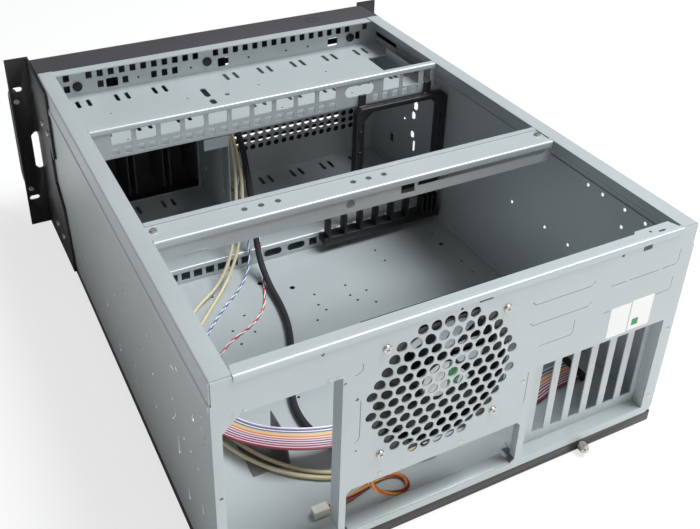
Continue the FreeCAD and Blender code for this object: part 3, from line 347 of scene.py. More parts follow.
# ---------------------------------------------------------------- finishes
@dataclass(frozen=True)
class Enamel:
    """Satin coated steel sheet with soft clouding, handling marks and fine grain."""

    name: str
    colour: str
    shade_of: str
    metallic: float = 0.25
    rough: float = 0.36
    scuffs: float = 0.35

    def make(self) -> bpy.types.Material:
        """Builds the material.

        Returns:
            The finished material.
        """
        coat = Coat(self.name)
        cloud = coat.noise(9.0, 4.0)
        grain = coat.noise(1400.0, 2.0)
        smear = coat.noise(42.0, 6.0, 0.65)
        lines = coat.noise(30.0, 3.0, 0.5, coat.stretched((1.0, 26.0, 26.0), 0.5))
        marks = lines.above(0.66) * smear
        base = coat.blend(cloud, shade(self.shade_of), shade(self.colour))
        speck = coat.blend(grain * 0.22, base, shade(self.shade_of))
        coat.set(
            Base_Color=coat.blend(marks * self.scuffs * 0.5, speck, (0.62, 0.66, 0.68)),
            Roughness=self.rough - 0.05 + smear * 0.12 + marks * 0.12,
            Metallic=self.metallic,
        )
        coat.relief(grain + smear * 0.8, 0.10, 0.0002)
        return coat.material


@dataclass(frozen=True)
class Moulded:
    """Moulded plastic or powder coat with a fine spark-eroded grain."""

    name: str
    colour: str
    rough: float = 0.5
    grain: float = 0.25
    size: float = 900.0

    def make(self) -> bpy.types.Material:
        """Builds the material.

        Returns:
            The finished material.
        """
        coat = Coat(self.name)
        grain = coat.noise(self.size, 3.0, 0.6)
        cloud = coat.noise(16.0, 5.0, 0.6)
        tone = shade(self.colour)
        light = tuple(min(1.0, c * 1.35 + 0.004) for c in tone)
        coat.set(
            Base_Color=coat.blend(cloud * 0.5 + grain * 0.2, tone, light),
            Roughness=self.rough - 0.06 + cloud * 0.1 + grain * 0.05,
        )
        coat.relief(grain, self.grain, 0.00025)
        return coat.material


@dataclass(frozen=True)
class Plated:
    """Bright nickel plating with faint turning lines."""

    name: str
    colour: str
    rough: float = 0.28

    def make(self) -> bpy.types.Material:
        """Builds the material.

        Returns:
            The finished material.
        """
        coat = Coat(self.name)
        fine = coat.noise(2600.0, 2.0)
        stain = coat.noise(160.0, 4.0)
        coat.set(
            Base_Color=coat.blend(stain, shade(self.colour), (0.62, 0.6, 0.56)),
            Roughness=self.rough + stain * 0.16,
            Metallic=0.92,
        )
        coat.relief(fine, 0.2, 0.0001)
        return coat.material


@dataclass(frozen=True)
class Jacket:
    """Extruded cable insulation, slightly waxy and dusted along its length."""

    name: str
    colour: str
    rough: float = 0.42

    def make(self) -> bpy.types.Material:
        """Builds the material.

        Returns:
            The finished material.
        """
        coat = Coat(self.name)
        dust = coat.noise(90.0, 5.0, 0.6)
        fine = coat.noise(1500.0, 2.0)
        tone = shade(self.colour)
        dusty = tuple(c * 0.72 + 0.06 for c in tone)
        coat.set(
            Base_Color=coat.blend(dust ** 2.0, tone, dusty),
            Roughness=self.rough + dust * 0.15,
            Coat_Weight=0.12,
        )
        coat.relief(fine, 0.12, 0.0001)
        return coat.material


@dataclass(frozen=True)
class Braid:
    """Woven black sleeving that follows the loom's own UV map, with a painted sheen on its raised
    strands.
    """

    name: str
    colour: str
    strands: float = 16.0
    pick: float = 0.0022

    def make(self) -> bpy.types.Material:
        """Builds the material.

        Returns:
            The finished material.
        """
        coat = Coat(self.name)
        uv = coat.node("ShaderNodeUVMap", {"uv_map": "along"})
        around = coat.node("ShaderNodeSeparateXYZ", {}, (uv,)) * (self.strands * math.tau)
        along = coat.node("ShaderNodeSeparateXYZ", {}, (uv,), "Y") * (math.tau / self.pick)
        weave = (around + along).wave() * (around - along).wave() * 0.5 + 0.5
        tone = shade(self.colour)
        # Painted sheen: the raised strands of the weave are coloured lighter.
        crest_sheen = tuple(c * 2.6 + 0.006 for c in tone)
        coat.set(Base_Color=coat.blend(weave, tone, crest_sheen), Roughness=0.72 - weave * 0.14)
        coat.relief(weave, 0.55, 0.0005)
        return coat.material


@dataclass(frozen=True)
class Stripes:
    """Flat cable whose wires take their colours in turn across its UV map."""

    name: str
    wires: tuple[str, ...]

    def make(self) -> bpy.types.Material:
        """Builds the material.

        Returns:
            The finished material.
        """
        coat = Coat(self.name)
        uv = coat.node("ShaderNodeUVMap", {"uv_map": "along"})
        across = coat.node("ShaderNodeSeparateXYZ", {}, (uv,))
        count = len(self.wires)
        stops = [(k / count, shade(wire)) for k, wire in enumerate(self.wires)]
        settings = {"interpolation": "CONSTANT", "stops": stops}
        bands = coat.node("ShaderNodeValToRGB", settings, (across,))
        dust = coat.noise(120.0, 4.0)
        fine = coat.noise(1200.0, 2.0)
        coat.set(
            Base_Color=coat.blend(dust * 0.16, bands, (0.3, 0.29, 0.29)),
            Roughness=0.38 + dust * 0.14,
        )
        coat.relief(fine, 0.1, 0.0001)
        return coat.material


@dataclass(frozen=True)
class Glassy:
    """Clear moulded lens with a slight internal haze."""

    name: str
    colour: str

    def make(self) -> bpy.types.Material:
        """Builds the material.

        Returns:
            The finished material.
        """
        coat = Coat(self.name)
        haze = coat.noise(700.0, 3.0)
        coat.set(
            Base_Color=coat.blend(haze, shade(self.colour), (0.8, 0.84, 0.82)),
            Roughness=0.12 + haze * 0.12,
            Transmission_Weight=0.4,
        )
        return coat.material


@dataclass(frozen=True)
class Laminate:
    """Green board with masked copper runs under the lacquer."""

    name: str
    colour: str

    def make(self) -> bpy.types.Material:
        """Builds the material.

        Returns:
            The finished material.
        """
        coat = Coat(self.name)
        drawn = coat.stretched((1.0, 1.0, 5.0), 0.0)
        runs = coat.noise(160.0, 0.0, 0.5, drawn).above(0.52)
        haze = coat.noise(60.0, 4.0)
        coat.set(
            Base_Color=coat.blend(runs * 0.5, shade(self.colour), (0.02, 0.14, 0.06)),
            Roughness=0.3 + haze * 0.15,
        )
        coat.relief(runs, 0.3, 0.0001)
        return coat.material


class Shelf:
    """Every finish of the case, made once and looked up by slot name."""

    def __init__(self) -> None:
        """Makes the materials."""
        wires = (
            "ece8f2", "8f86b4", "3a3a62", "e6e0e6", "49526b", "b9b09a", "d7bd86", "e0a878",
            "cf6a3c", "e6ccc0", "8a5a6a", "e3c4cc", "45305a", "e8c8d4", "3c2838", "e3b4c4",
            "4a2434", "dcb0bc", "7c1f2e", "6a1626",
        )
        finishes = (
            Enamel("case_steel", "bec4c6", "aeb5b7"),
            Enamel("bracket_steel", "6d6a68", "605e5c", 0.25, 0.42, 0.2),
            Enamel("cover_steel", "38322f", "2c2725", 0.2, 0.42, 0.15),
            Moulded("ear_steel", "17171a", 0.42, 0.2, 1400.0),
            Plated("nickel", "b9b4aa"),
            Moulded("bezel_plastic", "3b3a3e", 0.44, 0.3, 800.0),
            Moulded("black_plastic", "131416", 0.4, 0.18),
            Moulded("fan_plastic", "141517", 0.36, 0.15),
            Moulded("white_plastic", "e2dfd3", 0.42, 0.1),
            Laminate("board", "0d4a26"),
            Glassy("lens", "d8e0dc"),
            Jacket("beige_cable", "cabf9f"),
            Braid("black_sleeve", "101012"),
            Jacket("blue_wire", "2a56a8"),
            Jacket("red_wire", "c8343a"),
            Stripes("ribbon", wires),
            Jacket("orange_wire", "e07020"),
            Jacket("white_wire", "e8e8ea"),
            Jacket("yellow_wire", "e2b83a"),
            Jacket("black_wire", "16161a"),
            Moulded("paper_label", "e9e9e6", 0.6, 0.06, 300.0),
            Moulded("green_label", "2f8a4e", 0.5, 0.06, 300.0),
        )
        self.made = {finish.name: finish.make() for finish in finishes}

    def take(self, *names: str) -> list[bpy.types.Material]:
        """The materials of those names."""
        return [self.made[name] for name in names]


# ---------------------------------------------------------------- outlines
def rounded(
    u0: float, u1: float, v0: float, v1: float, radius: float, steps: int = 4
) -> list[Pair]:
    """A rectangle with round corners.

    Args:
        u0: Low edge across.
        u1: High edge across.
        v0: Low edge down.
        v1: High edge down.
        radius: Corner radius.
        steps: Facets to each corner.

    Returns:
        The outline's corners.
    """
    centres = (
        (u1 - radius, v1 - radius),
        (u0 + radius, v1 - radius),
        (u0 + radius, v0 + radius),
        (u1 - radius, v0 + radius),
    )
    outline = []
    for quarter, (u, v) in enumerate(centres):
        for step in range(steps + 1):
            turn = math.pi / 2.0 * (quarter + step / steps)
            outline.append((u + radius * math.cos(turn), v + radius * math.sin(turn)))
    return outline


def slotted(u0: float, u1: float, v0: float, v1: float) -> list[Pair]:
    """A slot with fully round ends."""
    return rounded(u0, u1, v0, v1, min(u1 - u0, v1 - v0) * 0.499, 5)


def circle(u: float, v: float, radius: float, steps: int) -> list[Pair]:
    """A round outline.

    Args:
        u: Its centre across.
        v: Its centre down.
        radius: Its radius.
        steps: Its corners.

    Returns:
        The outline's corners.
    """
    turns = [math.tau * k / steps for k in range(steps)]
    return [(u + radius * math.cos(t), v + radius * math.sin(t)) for t in turns]


def nibbed(line: Sequence[Pair], wide: float = 0.5) -> list[Pair]:
    """A narrow lanced line as a closed outline.

    Args:
        line: The points that the line follows.
        wide: Its width.

    Returns:
        The outline's corners.
    """
    near, far = [], []
    for k, (u, v) in enumerate(line):
        before, after = line[max(k - 1, 0)], line[min(k + 1, len(line) - 1)]
        run = Vector((after[0] - before[0], after[1] - before[1])).normalized()
        near.append((u - run.y * wide / 2.0, v + run.x * wide / 2.0))
        far.append((u + run.y * wide / 2.0, v - run.x * wide / 2.0))
    return near + far[::-1]


def folded(line: Sequence[Pair], thick: float, inner: float = 0.7, steps: int = 4) -> list[Pair]:
    """Section of a bent sheet whose one face follows a line of straight legs.

    Args:
        line: The corners of the followed face; the sheet lies to its left.
        thick: Sheet thickness.
        inner: Radius on the inside of each fold.
        steps: Facets to each fold.

    Returns:
        The section's closed outline.
    """
    spots = [Vector(point) for point in line]
    face, back = [], []
    for k, spot in enumerate(spots):
        into = (spot - spots[k - 1]).normalized() if k else (spots[1] - spot).normalized()
        out = (spots[k + 1] - spot).normalized() if k < len(spots) - 1 else into
        side = Vector((-into.y, into.x))
        bend = into.angle_signed(out) * -1.0 if k and k < len(spots) - 1 else 0.0
        if abs(bend) < 0.01:
            face.append(tuple(spot))
            back.append(tuple(spot + side * thick))
            continue
        hand = math.copysign(1.0, bend)
        near = inner + thick if hand > 0 else inner
        far = inner if hand > 0 else inner + thick
        centre = spot - into * near * math.tan(abs(bend) / 2.0) + side * near * hand
        for step in range(steps + 1):
            turn = bend * step / steps
            reach = Matrix.Rotation(turn, 2) @ (side * -hand)
            face.append(tuple(centre + reach * near))
            back.append(tuple(centre + reach * far))
    return face + back[::-1]


# ---------------------------------------------------------------- shaping
def soften(part: bmesh.types.BMesh, edges: Sequence[bmesh.types.BMEdge], radius: float) -> None:
    """Works a radius onto edges.

    Args:
        part: The part that they belong to.
        edges: The edges.
        radius: The radius, in the part's own unit.
    """
    bmesh.ops.bevel(
        part, geom=edges, offset=radius, segments=2, profile=0.5,
        affect="EDGES", material=-1, clamp_overlap=True,
    )


class Work:
    """One piece, shaped part by part in case millimetres and then finished."""

    datum: Datum
    shelf: Shelf

    def __init__(self, name: str) -> None:
        """Starts an empty piece of that name."""
        self.name = name
        self.shape = bmesh.new()

    def take(self, part: bmesh.types.BMesh, coat: int, side: Optional[Side] = None) -> None:
        """Adds a closed part to the piece.

        Args:
            part: The part, which is used up.
            coat: Number of its finish.
            side: Where it is to be carried, if it is flat work.
        """
        if side:
            bmesh.ops.transform(part, matrix=Work.datum.frame(side), verts=part.verts[:])
        bmesh.ops.remove_doubles(part, verts=part.verts[:], dist=WELD)
        bmesh.ops.recalc_face_normals(part, faces=part.faces[:])
        self.join(part, coat)

    def join(self, part: bmesh.types.BMesh, coat: int) -> None:
        """Moves a part that is in its place into the piece.

        Args:
            part: The part, which is used up.
            coat: Number of its finish.
        """
        for surface in part.faces:
            surface.material_index = coat
        scratch = bpy.data.meshes.new("scratch")
        part.to_mesh(scratch)
        part.free()
        self.shape.from_mesh(scratch)
        bpy.data.meshes.remove(scratch)

    def plate(
        self,
        side: Side,
        w0: float,
        w1: float,
        outline: Sequence[Pair],
        holes: Sequence[Sequence[Pair]] = (),
        rounds: Sequence[Place] = (),
        coat: int = 0,
    ) -> None:
        """Adds a punched sheet, or any straight solid.

        Args:
            side: How it faces.
            w0: Its near face.
            w1: Its far face.
            outline: Its outer outline.
            holes: Outlines of its openings.
            rounds: Round holes as (u, v, radius).
            coat: Number of its finish.
        """
        part = bmesh.new()
        for ring in (outline, *holes):
            corners = [part.verts.new((u, v, w0)) for u, v in ring]
            for first, second in zip(corners, corners[1:] + corners[:1]):
                part.edges.new((first, second))
        for u, v, radius in rounds:
            steps = 24 if radius > WIDE_HOLE else 14
            spot = Matrix.Translation((u, v, w0))
            bmesh.ops.create_circle(part, segments=steps, radius=radius, matrix=spot)
        rims = part.edges[:]
        bmesh.ops.triangle_fill(part, use_beauty=True, use_dissolve=False, edges=rims)
        grown = bmesh.ops.extrude_face_region(part, geom=part.faces[:])
        moved = [item for item in grown["geom"] if isinstance(item, bmesh.types.BMVert)]
        bmesh.ops.translate(part, verts=moved, vec=(0.0, 0.0, w1 - w0))
        self.take(part, coat, side)

    def spun(
        self, side: Side, u: float, v: float, line: Sequence[Pair], steps: int = 24
    ) -> None:
        """Adds a turned part.

        Args:
            side: The way its axis points is this side's third direction.
            u: Axis across.
            v: Axis down.
            line: Half section as (radius, w), from axis to axis.
            steps: Facets round it.
        """
        part = bmesh.new()
        corners = [part.verts.new((radius, 0.0, w)) for radius, w in line]
        edges = [part.edges.new(pair) for pair in zip(corners, corners[1:])]
        bmesh.ops.spin(
            part, geom=corners + edges, cent=(0, 0, 0), axis=(0, 0, 1),
            angle=math.tau, steps=steps, use_merge=True,
        )
        bmesh.ops.remove_doubles(part, verts=part.verts[:], dist=AXIS_WELD)
        bmesh.ops.translate(part, verts=part.verts[:], vec=(u, v, 0.0))
        self.take(part, 0, side)

    def block(self, low: Place, high: Place, edge: float = 0.3, coat: int = 0) -> None:
        """Adds a block with softened edges.

        Args:
            low: Its lowest a, d and drop.
            high: Its highest a, d and drop.
            edge: Radius of its edges.
            coat: Number of its finish.
        """
        part = bmesh.new()
        size = [h - l for l, h in zip(low, high)]
        middle = Matrix.Translation([(h + l) / 2.0 for l, h in zip(low, high)])
        bmesh.ops.create_cube(part, size=1.0, matrix=middle @ Matrix.Diagonal((*size, 1.0)))
        soften(part, part.edges[:], edge)
        self.take(part, coat, Side.LEVEL)

    def press(
        self, side: Side, u: float, v: float, radius: float, slope: float, out: float
    ) -> None:
        """Presses a round field of the sheet outwards.

        Args:
            side: How the sheet faces.
            u: The field's centre across.
            v: The field's centre down.
            radius: Where its rim starts.
            slope: Width of the sloping rim.
            out: How far the field is raised.
        """
        frame = Work.datum.frame(side)
        back = frame.inverted()
        for corner in self.shape.verts:
            spot = back @ corner.co
            reach = min(1.0, (radius - math.hypot(spot.x - u, spot.y - v)) / slope)
            if reach > 0.0:
                spot.z -= out * reach
                corner.co = frame @ spot

    def copy(self, node: str, edge: float) -> None:
        """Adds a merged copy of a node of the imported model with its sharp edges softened.

        Args:
            node: The node's name.
            edge: Radius in millimetres.
        """
        part = bmesh.new()
        part.from_mesh(bpy.data.objects[node].data)
        bmesh.ops.remove_doubles(part, verts=part.verts[:], dist=NODE_WELD)
        bmesh.ops.dissolve_limit(
            part, angle_limit=0.01, use_dissolve_boundaries=False,
            verts=part.verts[:], edges=part.edges[:],
        )
        sharp = [e for e in part.edges if e.is_manifold and e.calc_face_angle() > CREASE]
        soften(part, sharp, edge * MM)
        self.join(part, 0)

    def done(
        self,
        slot: str,
        coats: Sequence[str] = (),
        nodes: Sequence[str] = (),
        body: str = BODY,
        smooth: float = 35.0,
    ) -> bpy.types.Object:
        """Finishes the piece and hangs it on its body.

        Args:
            slot: The record's material slot.
            coats: The finishes of its numbered parts, the slot's own if none.
            nodes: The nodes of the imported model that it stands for.
            body: The body that it rides on.
            smooth: Greatest angle in degrees that is shaded smooth.

        Returns:
            The finished object.
        """
        mesh = bpy.data.meshes.new(self.name)
        self.shape.to_mesh(mesh)
        self.shape.free()
        mesh.shade_smooth()
        mesh.set_sharp_from_angle(angle=math.radians(smooth))
        for material in Work.shelf.take(*(coats or (slot,))):
            mesh.materials.append(material)
        return hang(bpy.data.objects.new(self.name, mesh), nodes, body)


def hang(
    piece: bpy.types.Object, nodes: Sequence[str] = (), body: str = BODY
) -> bpy.types.Object:
    """Links a finished object into the scene and onto its body.

    Args:
        piece: The object.
        nodes: The nodes that it stands for.
        body: The body that it rides on.

    Returns:
        The same object.
    """
    bpy.context.scene.collection.objects.link(piece)
    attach(piece, body)
    if nodes:
        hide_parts(*nodes)
    log.info("%s rides on %s", piece.name, body)
    return piece


# ---------------------------------------------------------------- sheet metal
@dataclass
class Rear:
    """Rear sheet with its fan grille, openings, card slots and lanced knock-outs."""

    sheet: float = CASE.sheet
    fan_a: float = CASE.fan_a
    fan_drop: float = CASE.fan_drop
    fold: float = 4.0
    jog: float = 20.0
    grille: float = 63.8
    pitch: float = 11.4
    hole: float = 4.6
    dish: float = 60.0
    slope: float = 8.0
    bulge: float = 2.8
    slots: int = 6
    slot_first: float = 297.5
    slot_pitch: float = 20.32
    slot_wide: float = 12.9

    def grille_rounds(self) -> list[Place]:
        """The staggered round holes of the fan grille.

        Returns:
            Each hole as (across, down, radius).
        """
        rise = self.pitch * math.sqrt(3.0) / 2.0
        rows = int(self.grille / rise)
        holes = []
        for row in range(-rows, rows + 1):
            for column in range(-rows, rows + 1):
                u = (column + 0.5 * (row % 2)) * self.pitch
                v = row * rise
                if math.hypot(u, v) <= self.grille:
                    holes.append((self.fan_a + u, self.fan_drop + v, self.hole))
        return holes

    def knock_outs(self) -> list[list[Pair]]:
        """The lanced lines of the unused port openings.

        Returns:
            Their outlines.
        """
        turns = [0.3 * k - 0.6 for k in range(9)]
        lines = (
            ((263.0, 24.3), (266.5, 28.0), (320.9, 28.0), (325.3, 24.3)),
            ((263.7, 45.6), (267.1, 48.4), (321.5, 48.4), (324.5, 44.4)),
            ((277.0, 73.0), (308.5, 73.0), (310.4, 71.0), (310.5, 58.5)),
            ((343.4, 35.6), (359.3, 35.6)),
            ((363.0, 35.6), (394.7, 35.4)),
            ((398.5, 35.3), (412.5, 35.0), (415.0, 32.5), (415.5, 20.9)),
            ((341.0, 62.5), (348.5, 62.4)),
            ((398.3, 62.0), (411.5, 62.0), (414.0, 59.5), (414.1, 48.0)),
            [(109.4 + 5.6 * math.cos(turn), 30.4 + 5.6 * math.sin(turn)) for turn in turns],
            ((114.0, 63.0), (114.3, 98.5), (113.0, 102.0), (110.0, 103.7)),
            ((270.6, 98.0), (270.6, 132.0)),
        )
        return [nibbed(line) for line in lines]

    def face(self, work: Work) -> None:
        """The main sheet and its top flange.

        Args:
            work: The piece that they are added to.
        """
        left, right, fold = CASE.flange, CASE.flange_right, self.fold
        outline = [
            (self.sheet, 0.0), (left, 0.0), (left, fold), (right, fold), (right, 0.0),
            (CASE.right, 0.0), (CASE.right, self.jog), (CASE.wide, self.jog),
            (CASE.wide, CASE.bottom - 6.0), (CASE.wide - 6.0, CASE.bottom),
            (0.0, CASE.bottom), (0.0, self.jog), (self.sheet, self.jog),
        ]
        half = CASE.fan_screws / 2.0
        holes = [
            [(21.0, 34.5), (97.6, 34.5), (99.0, 35.9), (99.0, 195.0), (7.6, 195.0),
             (7.6, 47.9)],
            [(109.0, 153.5), (267.0, 153.5), (271.0, 157.5), (271.0, 198.0), (267.0, 202.0),
             (109.0, 202.0), (105.0, 198.0), (105.0, 157.5)],
            [(278.2, 96.2), (416.8, 96.2), (416.8, 201.0), (278.2, 201.0)],
            rounded(211.0, 223.4, 4.4, 6.6, 0.6),
            rounded(371.0, 380.5, 5.0, 9.6, 0.4),
            *self.knock_outs(),
        ]
        rounds = self.grille_rounds()
        for u in (-half, half):
            rounds += [(self.fan_a + u, self.fan_drop + v, 2.3) for v in (-half, half)]
        rounds += [
            (82.4, 6.4, 1.5), (110.8, 60.2, 1.5), (111.8, 112.6, 0.8), (266.6, 107.9, 1.5),
            (424.7, 109.5, 1.5), (423.0, 188.0, 1.5), (349.8, 7.4, 1.4), (4.4, 109.2, 1.4),
            (100.6, 40.6, 1.1), (196.0, 6.8, 1.2),
        ]
        work.plate(Side.REAR, 0.0, self.sheet, outline, holes, rounds)
        work.press(Side.REAR, self.fan_a, self.fan_drop, self.dish, self.slope, self.bulge)
        section = folded([(fold, 0.0), (0.0, 0.0), (0.0, fold)], self.sheet)
        work.plate(Side.FLANK, left, right, section)
        lip = [
            (left, fold), (right, fold), (409.1, 14.5), (373.1, 14.5), (370.1, 11.5),
            (left + 2.0, 11.5),
        ]
        slot = rounded(391.5, 398.5, 5.4, 7.4, 0.6)
        work.plate(Side.LEVEL, 0.0, self.sheet, lip, [slot], [(385.0, 9.0, 1.3)])

    def openings(self, work: Work) -> None:
        """The returns round the supply and port openings and their lanced tabs.

        Args:
            work: The piece that they are added to.
        """
        side_return = folded([(99.0, 14.0), (99.0, self.sheet)], self.sheet)
        work.plate(Side.LEVEL, 36.5, 195.0, side_return)
        work.block((109.0, self.sheet, 202.0), (267.0, 13.5, 203.2), 0.4)
        work.block((271.0, self.sheet, 157.5), (272.2, 7.0, 198.0), 0.4)
        for a in (14.5, 22.0, 86.0, 93.5):
            work.block((a, 0.2, 33.4), (a + 4.2, 3.6, 34.4), 0.25)
            work.block((a + 0.6, -0.5, 32.0), (a + 3.6, 0.4, 33.6), 0.25)

    def recess(self, work: Work) -> None:
        """The set-back sheet of the card slots.

        Args:
            work: The piece that it is added to.
        """
        near, left, right, roof, ledge = 12.0, 277.0, 418.0, 95.0, 201.0
        far = near + self.sheet
        firsts = [self.slot_first + self.slot_pitch * k for k in range(self.slots)]
        windows = [rounded(a, a + self.slot_wide, 108.5, 190.0, 0.8) for a in firsts]
        back = rounded(left, right, roof, ledge, 0.2, 1)
        work.plate(Side.REAR, near, far, back, windows)
        for a in (left, right - self.sheet):
            work.block((a, self.sheet, roof), (a + self.sheet, far, ledge))
        work.block((left, self.sheet, roof), (right, far, roof + self.sheet))
        tangs = [rounded(a - 1.5, a + 3.5, 15.2, 18.2, 0.5) for a in firsts]
        shelf = rounded(left, right, self.sheet, 21.2, 0.4, 2)
        work.plate(Side.LEVEL, ledge, ledge + self.sheet, shelf, tangs)

    def label(self) -> None:
        """Two plain paper labels above the card slots."""
        work = Work("rear_labels")
        for a0, a1, t0, t1 in ((349.8, 371.6, 61.4, 93.2), (373.0, 396.8, 60.4, 92.4)):
            work.plate(Side.REAR, -0.12, 0.0, rounded(a0, a1, t0, t1, 0.8))
        work.plate(Side.REAR, -0.16, -0.12, rounded(376.5, 383.5, 81.0, 88.0, 0.3), coat=1)
        work.done("white_plastic", ("paper_label", "green_label"))

    def studs(self) -> None:
        """The bright pressed-in studs of the rear sheet."""
        work = Work("rear_studs")
        crown = [(0.0, -0.9), (1.1, -0.8), (1.9, -0.4), (2.3, 0.0), (0.0, 0.0)]
        spots = ((134.2, 148.0), (209.5, 148.8), (266.3, 107.4), (424.7, 109.5), (423.0, 188.0))
        for a, drop in spots:
            work.spun(Side.REAR, a, drop, crown, 20)
        work.done("nickel")

    def build(self) -> None:
        """Makes the rear sheet, its labels and its studs."""
        work = Work("rear_sheet")
        self.face(work)
        self.openings(work)
        self.recess(work)
        work.done("case_steel", nodes=("rear_panel",))
        self.label()
        self.studs()


@dataclass
class Shell:
    """Floor, two stepped walls, front sheet and bottom cover."""

    sheet: float = CASE.sheet
    floor: float = 208.3
    screw_a: float = 347.0
    screw_drop: float = 215.3

    def base(self) -> None:
        """The floor with its punched board holes and upturned sides."""
        work = Work("floor_sheet")
        rows = {
            334.5: (404.9, 324.5, 176.5, 119.9), 312.0: (402.4, 324.7, 205.8),
            290.5: (260.9, 222.5, 139.2), 272.5: (404.6, 277.9, 257.5, 218.4, 118.8),
            261.5: (261.0, 222.5, 139.3), 250.0: (404.0, 277.6, 206.2, 119.4),
            157.0: (139.5,),
        }
        large = ((176.5, 334.5), (402.4, 312.0), (205.8, 312.0))
        rounds = []
        for d, row in rows.items():
            rounds += [(a, d, 3.0 if (a, d) in large else 1.5) for a in row]
        near, right, far = self.sheet, CASE.right, CASE.far
        outline = [(near, near), (right, near), (right, far), (near, far)]
        work.plate(Side.LEVEL, self.floor, self.floor + self.sheet, outline, (), rounds)
        for a in (near, right - self.sheet):
            upturn = rounded(a, a + self.sheet, self.floor - 8.3, self.floor, 0.3, 2)
            work.plate(Side.REAR, near, far, upturn)
        work.done("case_steel", nodes=("floor_pan",))

    def wall(
        self,
        name: str,
        node: str,
        mirrored: bool,
        marks: Sequence[Sequence[Pair]],
        rounds: Sequence[Place],
    ) -> None:
        """One stepped wall.

        Args:
            name: The piece's name.
            node: The node it stands for.
            mirrored: Whether it is the right wall.
            marks: Its slots, as (d, drop) outlines.
            rounds: Its round holes, as (d, drop, radius).
        """
        work = Work(name)

        def over(line: Sequence[Pair]) -> list[Pair]:
            """The same line on this wall's side."""
            return [(CASE.wide - a, drop) for a, drop in line] if mirrored else list(line)

        sheet, far = self.sheet, CASE.far
        step = [(16.5, 0.0), (sheet, 0.0), (sheet, 19.2), (0.0, 21.0), (0.0, 26.0)]
        work.plate(Side.REAR, sheet, far, over(folded(step, sheet)))
        flat = rounded(sheet, far, 26.0, CASE.bottom, 0.1, 1)
        low, high = (CASE.right, CASE.wide) if mirrored else (0.0, sheet)
        work.plate(Side.FLANK, low, high, flat, marks, rounds)
        rear = over([(sheet, 22.4), (7.6, 22.4), (7.6, 200.0), (sheet, 200.0)])
        work.plate(Side.REAR, sheet, 2.0 * sheet, rear)
        front = over([(sheet, 54.2), (14.0, 54.2), (14.0, 173.5), (sheet, 173.5)])
        work.plate(Side.REAR, far - sheet, far, front)
        seat = over([(8.0, 170.5), (30.0, 170.5), (30.0, 190.3), (8.0, 190.3)])
        work.plate(Side.LEVEL, sheet, 2.0 * sheet, seat)
        work.done("case_steel", nodes=(node,))

    def walls(self) -> None:
        """Both walls with their slide-rail slots and small screw holes."""
        screws = (
            (279.0, 56.4), (259.6, 111.5), (234.8, 110.3), (182.7, 113.1), (144.7, 111.6),
            (91.9, 112.8), (14.0, 61.0), (16.1, 69.4), (67.1, 112.0), (51.8, 110.5),
            (35.2, 112.0), (20.6, 46.1), (22.4, 58.3), (442.1, 179.2),
        )
        slits = (
            (224.2, 67.5, 1.2, 3.4), (214.7, 76.0, 1.2, 2.8), (152.9, 74.5, 1.0, 4.2),
            (262.1, 176.7, 1.4, 4.6), (207.8, 151.9, 1.0, 4.0), (212.4, 178.7, 1.2, 1.6),
            (144.5, 147.0, 1.0, 3.4), (72.2, 46.8, 3.2, 1.2), (83.9, 54.3, 3.4, 1.2),
            (90.8, 87.2, 1.0, 6.0), (85.8, 101.3, 1.0, 5.2), (83.0, 134.0, 1.8, 9.6),
            (64.7, 171.2, 1.4, 5.6), (31.8, 152.8, 1.4, 5.2), (39.5, 65.6, 2.2, 3.0),
            (300.0, 150.0, 1.2, 4.2), (352.0, 84.0, 1.2, 5.0), (390.0, 150.0, 1.2, 5.0),
        )
        marks = [
            rounded(d - u, d + u, v - h, v + h, min(u, h) * 0.7, 3) for d, v, u, h in slits
        ]
        holes = [(d, drop, 1.5) for d, drop in screws]
        self.wall("left_wall", "left_side_wall", False, marks, holes)
        screws = (
            (126.1, 31.0), (106.5, 31.0), (77.5, 31.0), (52.2, 31.0), (77.3, 49.7),
            (138.1, 107.9), (173.9, 108.1), (228.4, 108.3), (450.0, 109.0),
        )
        marks = [
            slotted(422.0, 431.0, 75.0, 87.0), slotted(426.0, 434.0, 91.0, 101.0),
            slotted(426.0, 434.0, 118.0, 127.0), rounded(423.0, 427.5, 130.0, 144.0, 0.6),
            rounded(474.0, 482.0, 144.0, 156.0, 0.6),
        ]
        holes = [(d, drop, 1.9) for d, drop in screws]
        self.wall("right_wall", "right_side_wall", True, marks, holes)

    def front(self) -> None:
        """The front sheet behind the moulded front."""
        work = Work("front_sheet")
        left, right, low = self.sheet, CASE.right, CASE.bottom
        outline = [(left, 0.0), (right, 0.0), (right, low), (left, low)]
        cuts = [rounded(16.0, 177.4, 38.0, 188.0, 2.0)]
        upper = [26.5 + 12.7 * k for k in range(31) if k not in (1, 13, 29)]
        cuts += [rounded(a, a + 7.0, 5.5, 14.5, 0.8, 2) for a in upper]
        lower = (26.1, 64.3, 93.2, 127.3, 140.1, 152.6)
        cuts += [rounded(a, a + 7.0, 19.5, 28.0, 0.8, 2) for a in lower]
        cuts += [rounded(a, a + 14.0, 18.5, 29.5, 1.5, 2) for a in (74.2, 210.0, 358.0)]
        cuts.append(rounded(397.5, 404.6, 15.5, 26.0, 0.8, 2))
        columns = [230.7 + 10.97 * c for c in range(16)]
        rounds = [(a, 128.7 + 10.2 * row, 3.9) for a in columns for row in range(3)]
        rounds += [(a, 24.0, 1.4) for a in (112.0, 176.0, 250.0, 300.0, 330.0)]
        work.plate(Side.REAR, CASE.far, CASE.deep, outline, cuts, rounds)
        left, right = CASE.flange, CASE.flange_right
        lip = [(left, 518.0), (right, 518.0), (right, CASE.far), (left, CASE.far)]
        work.plate(Side.LEVEL, 0.0, self.sheet, lip)
        work.done("case_steel", nodes=("front_panel",))

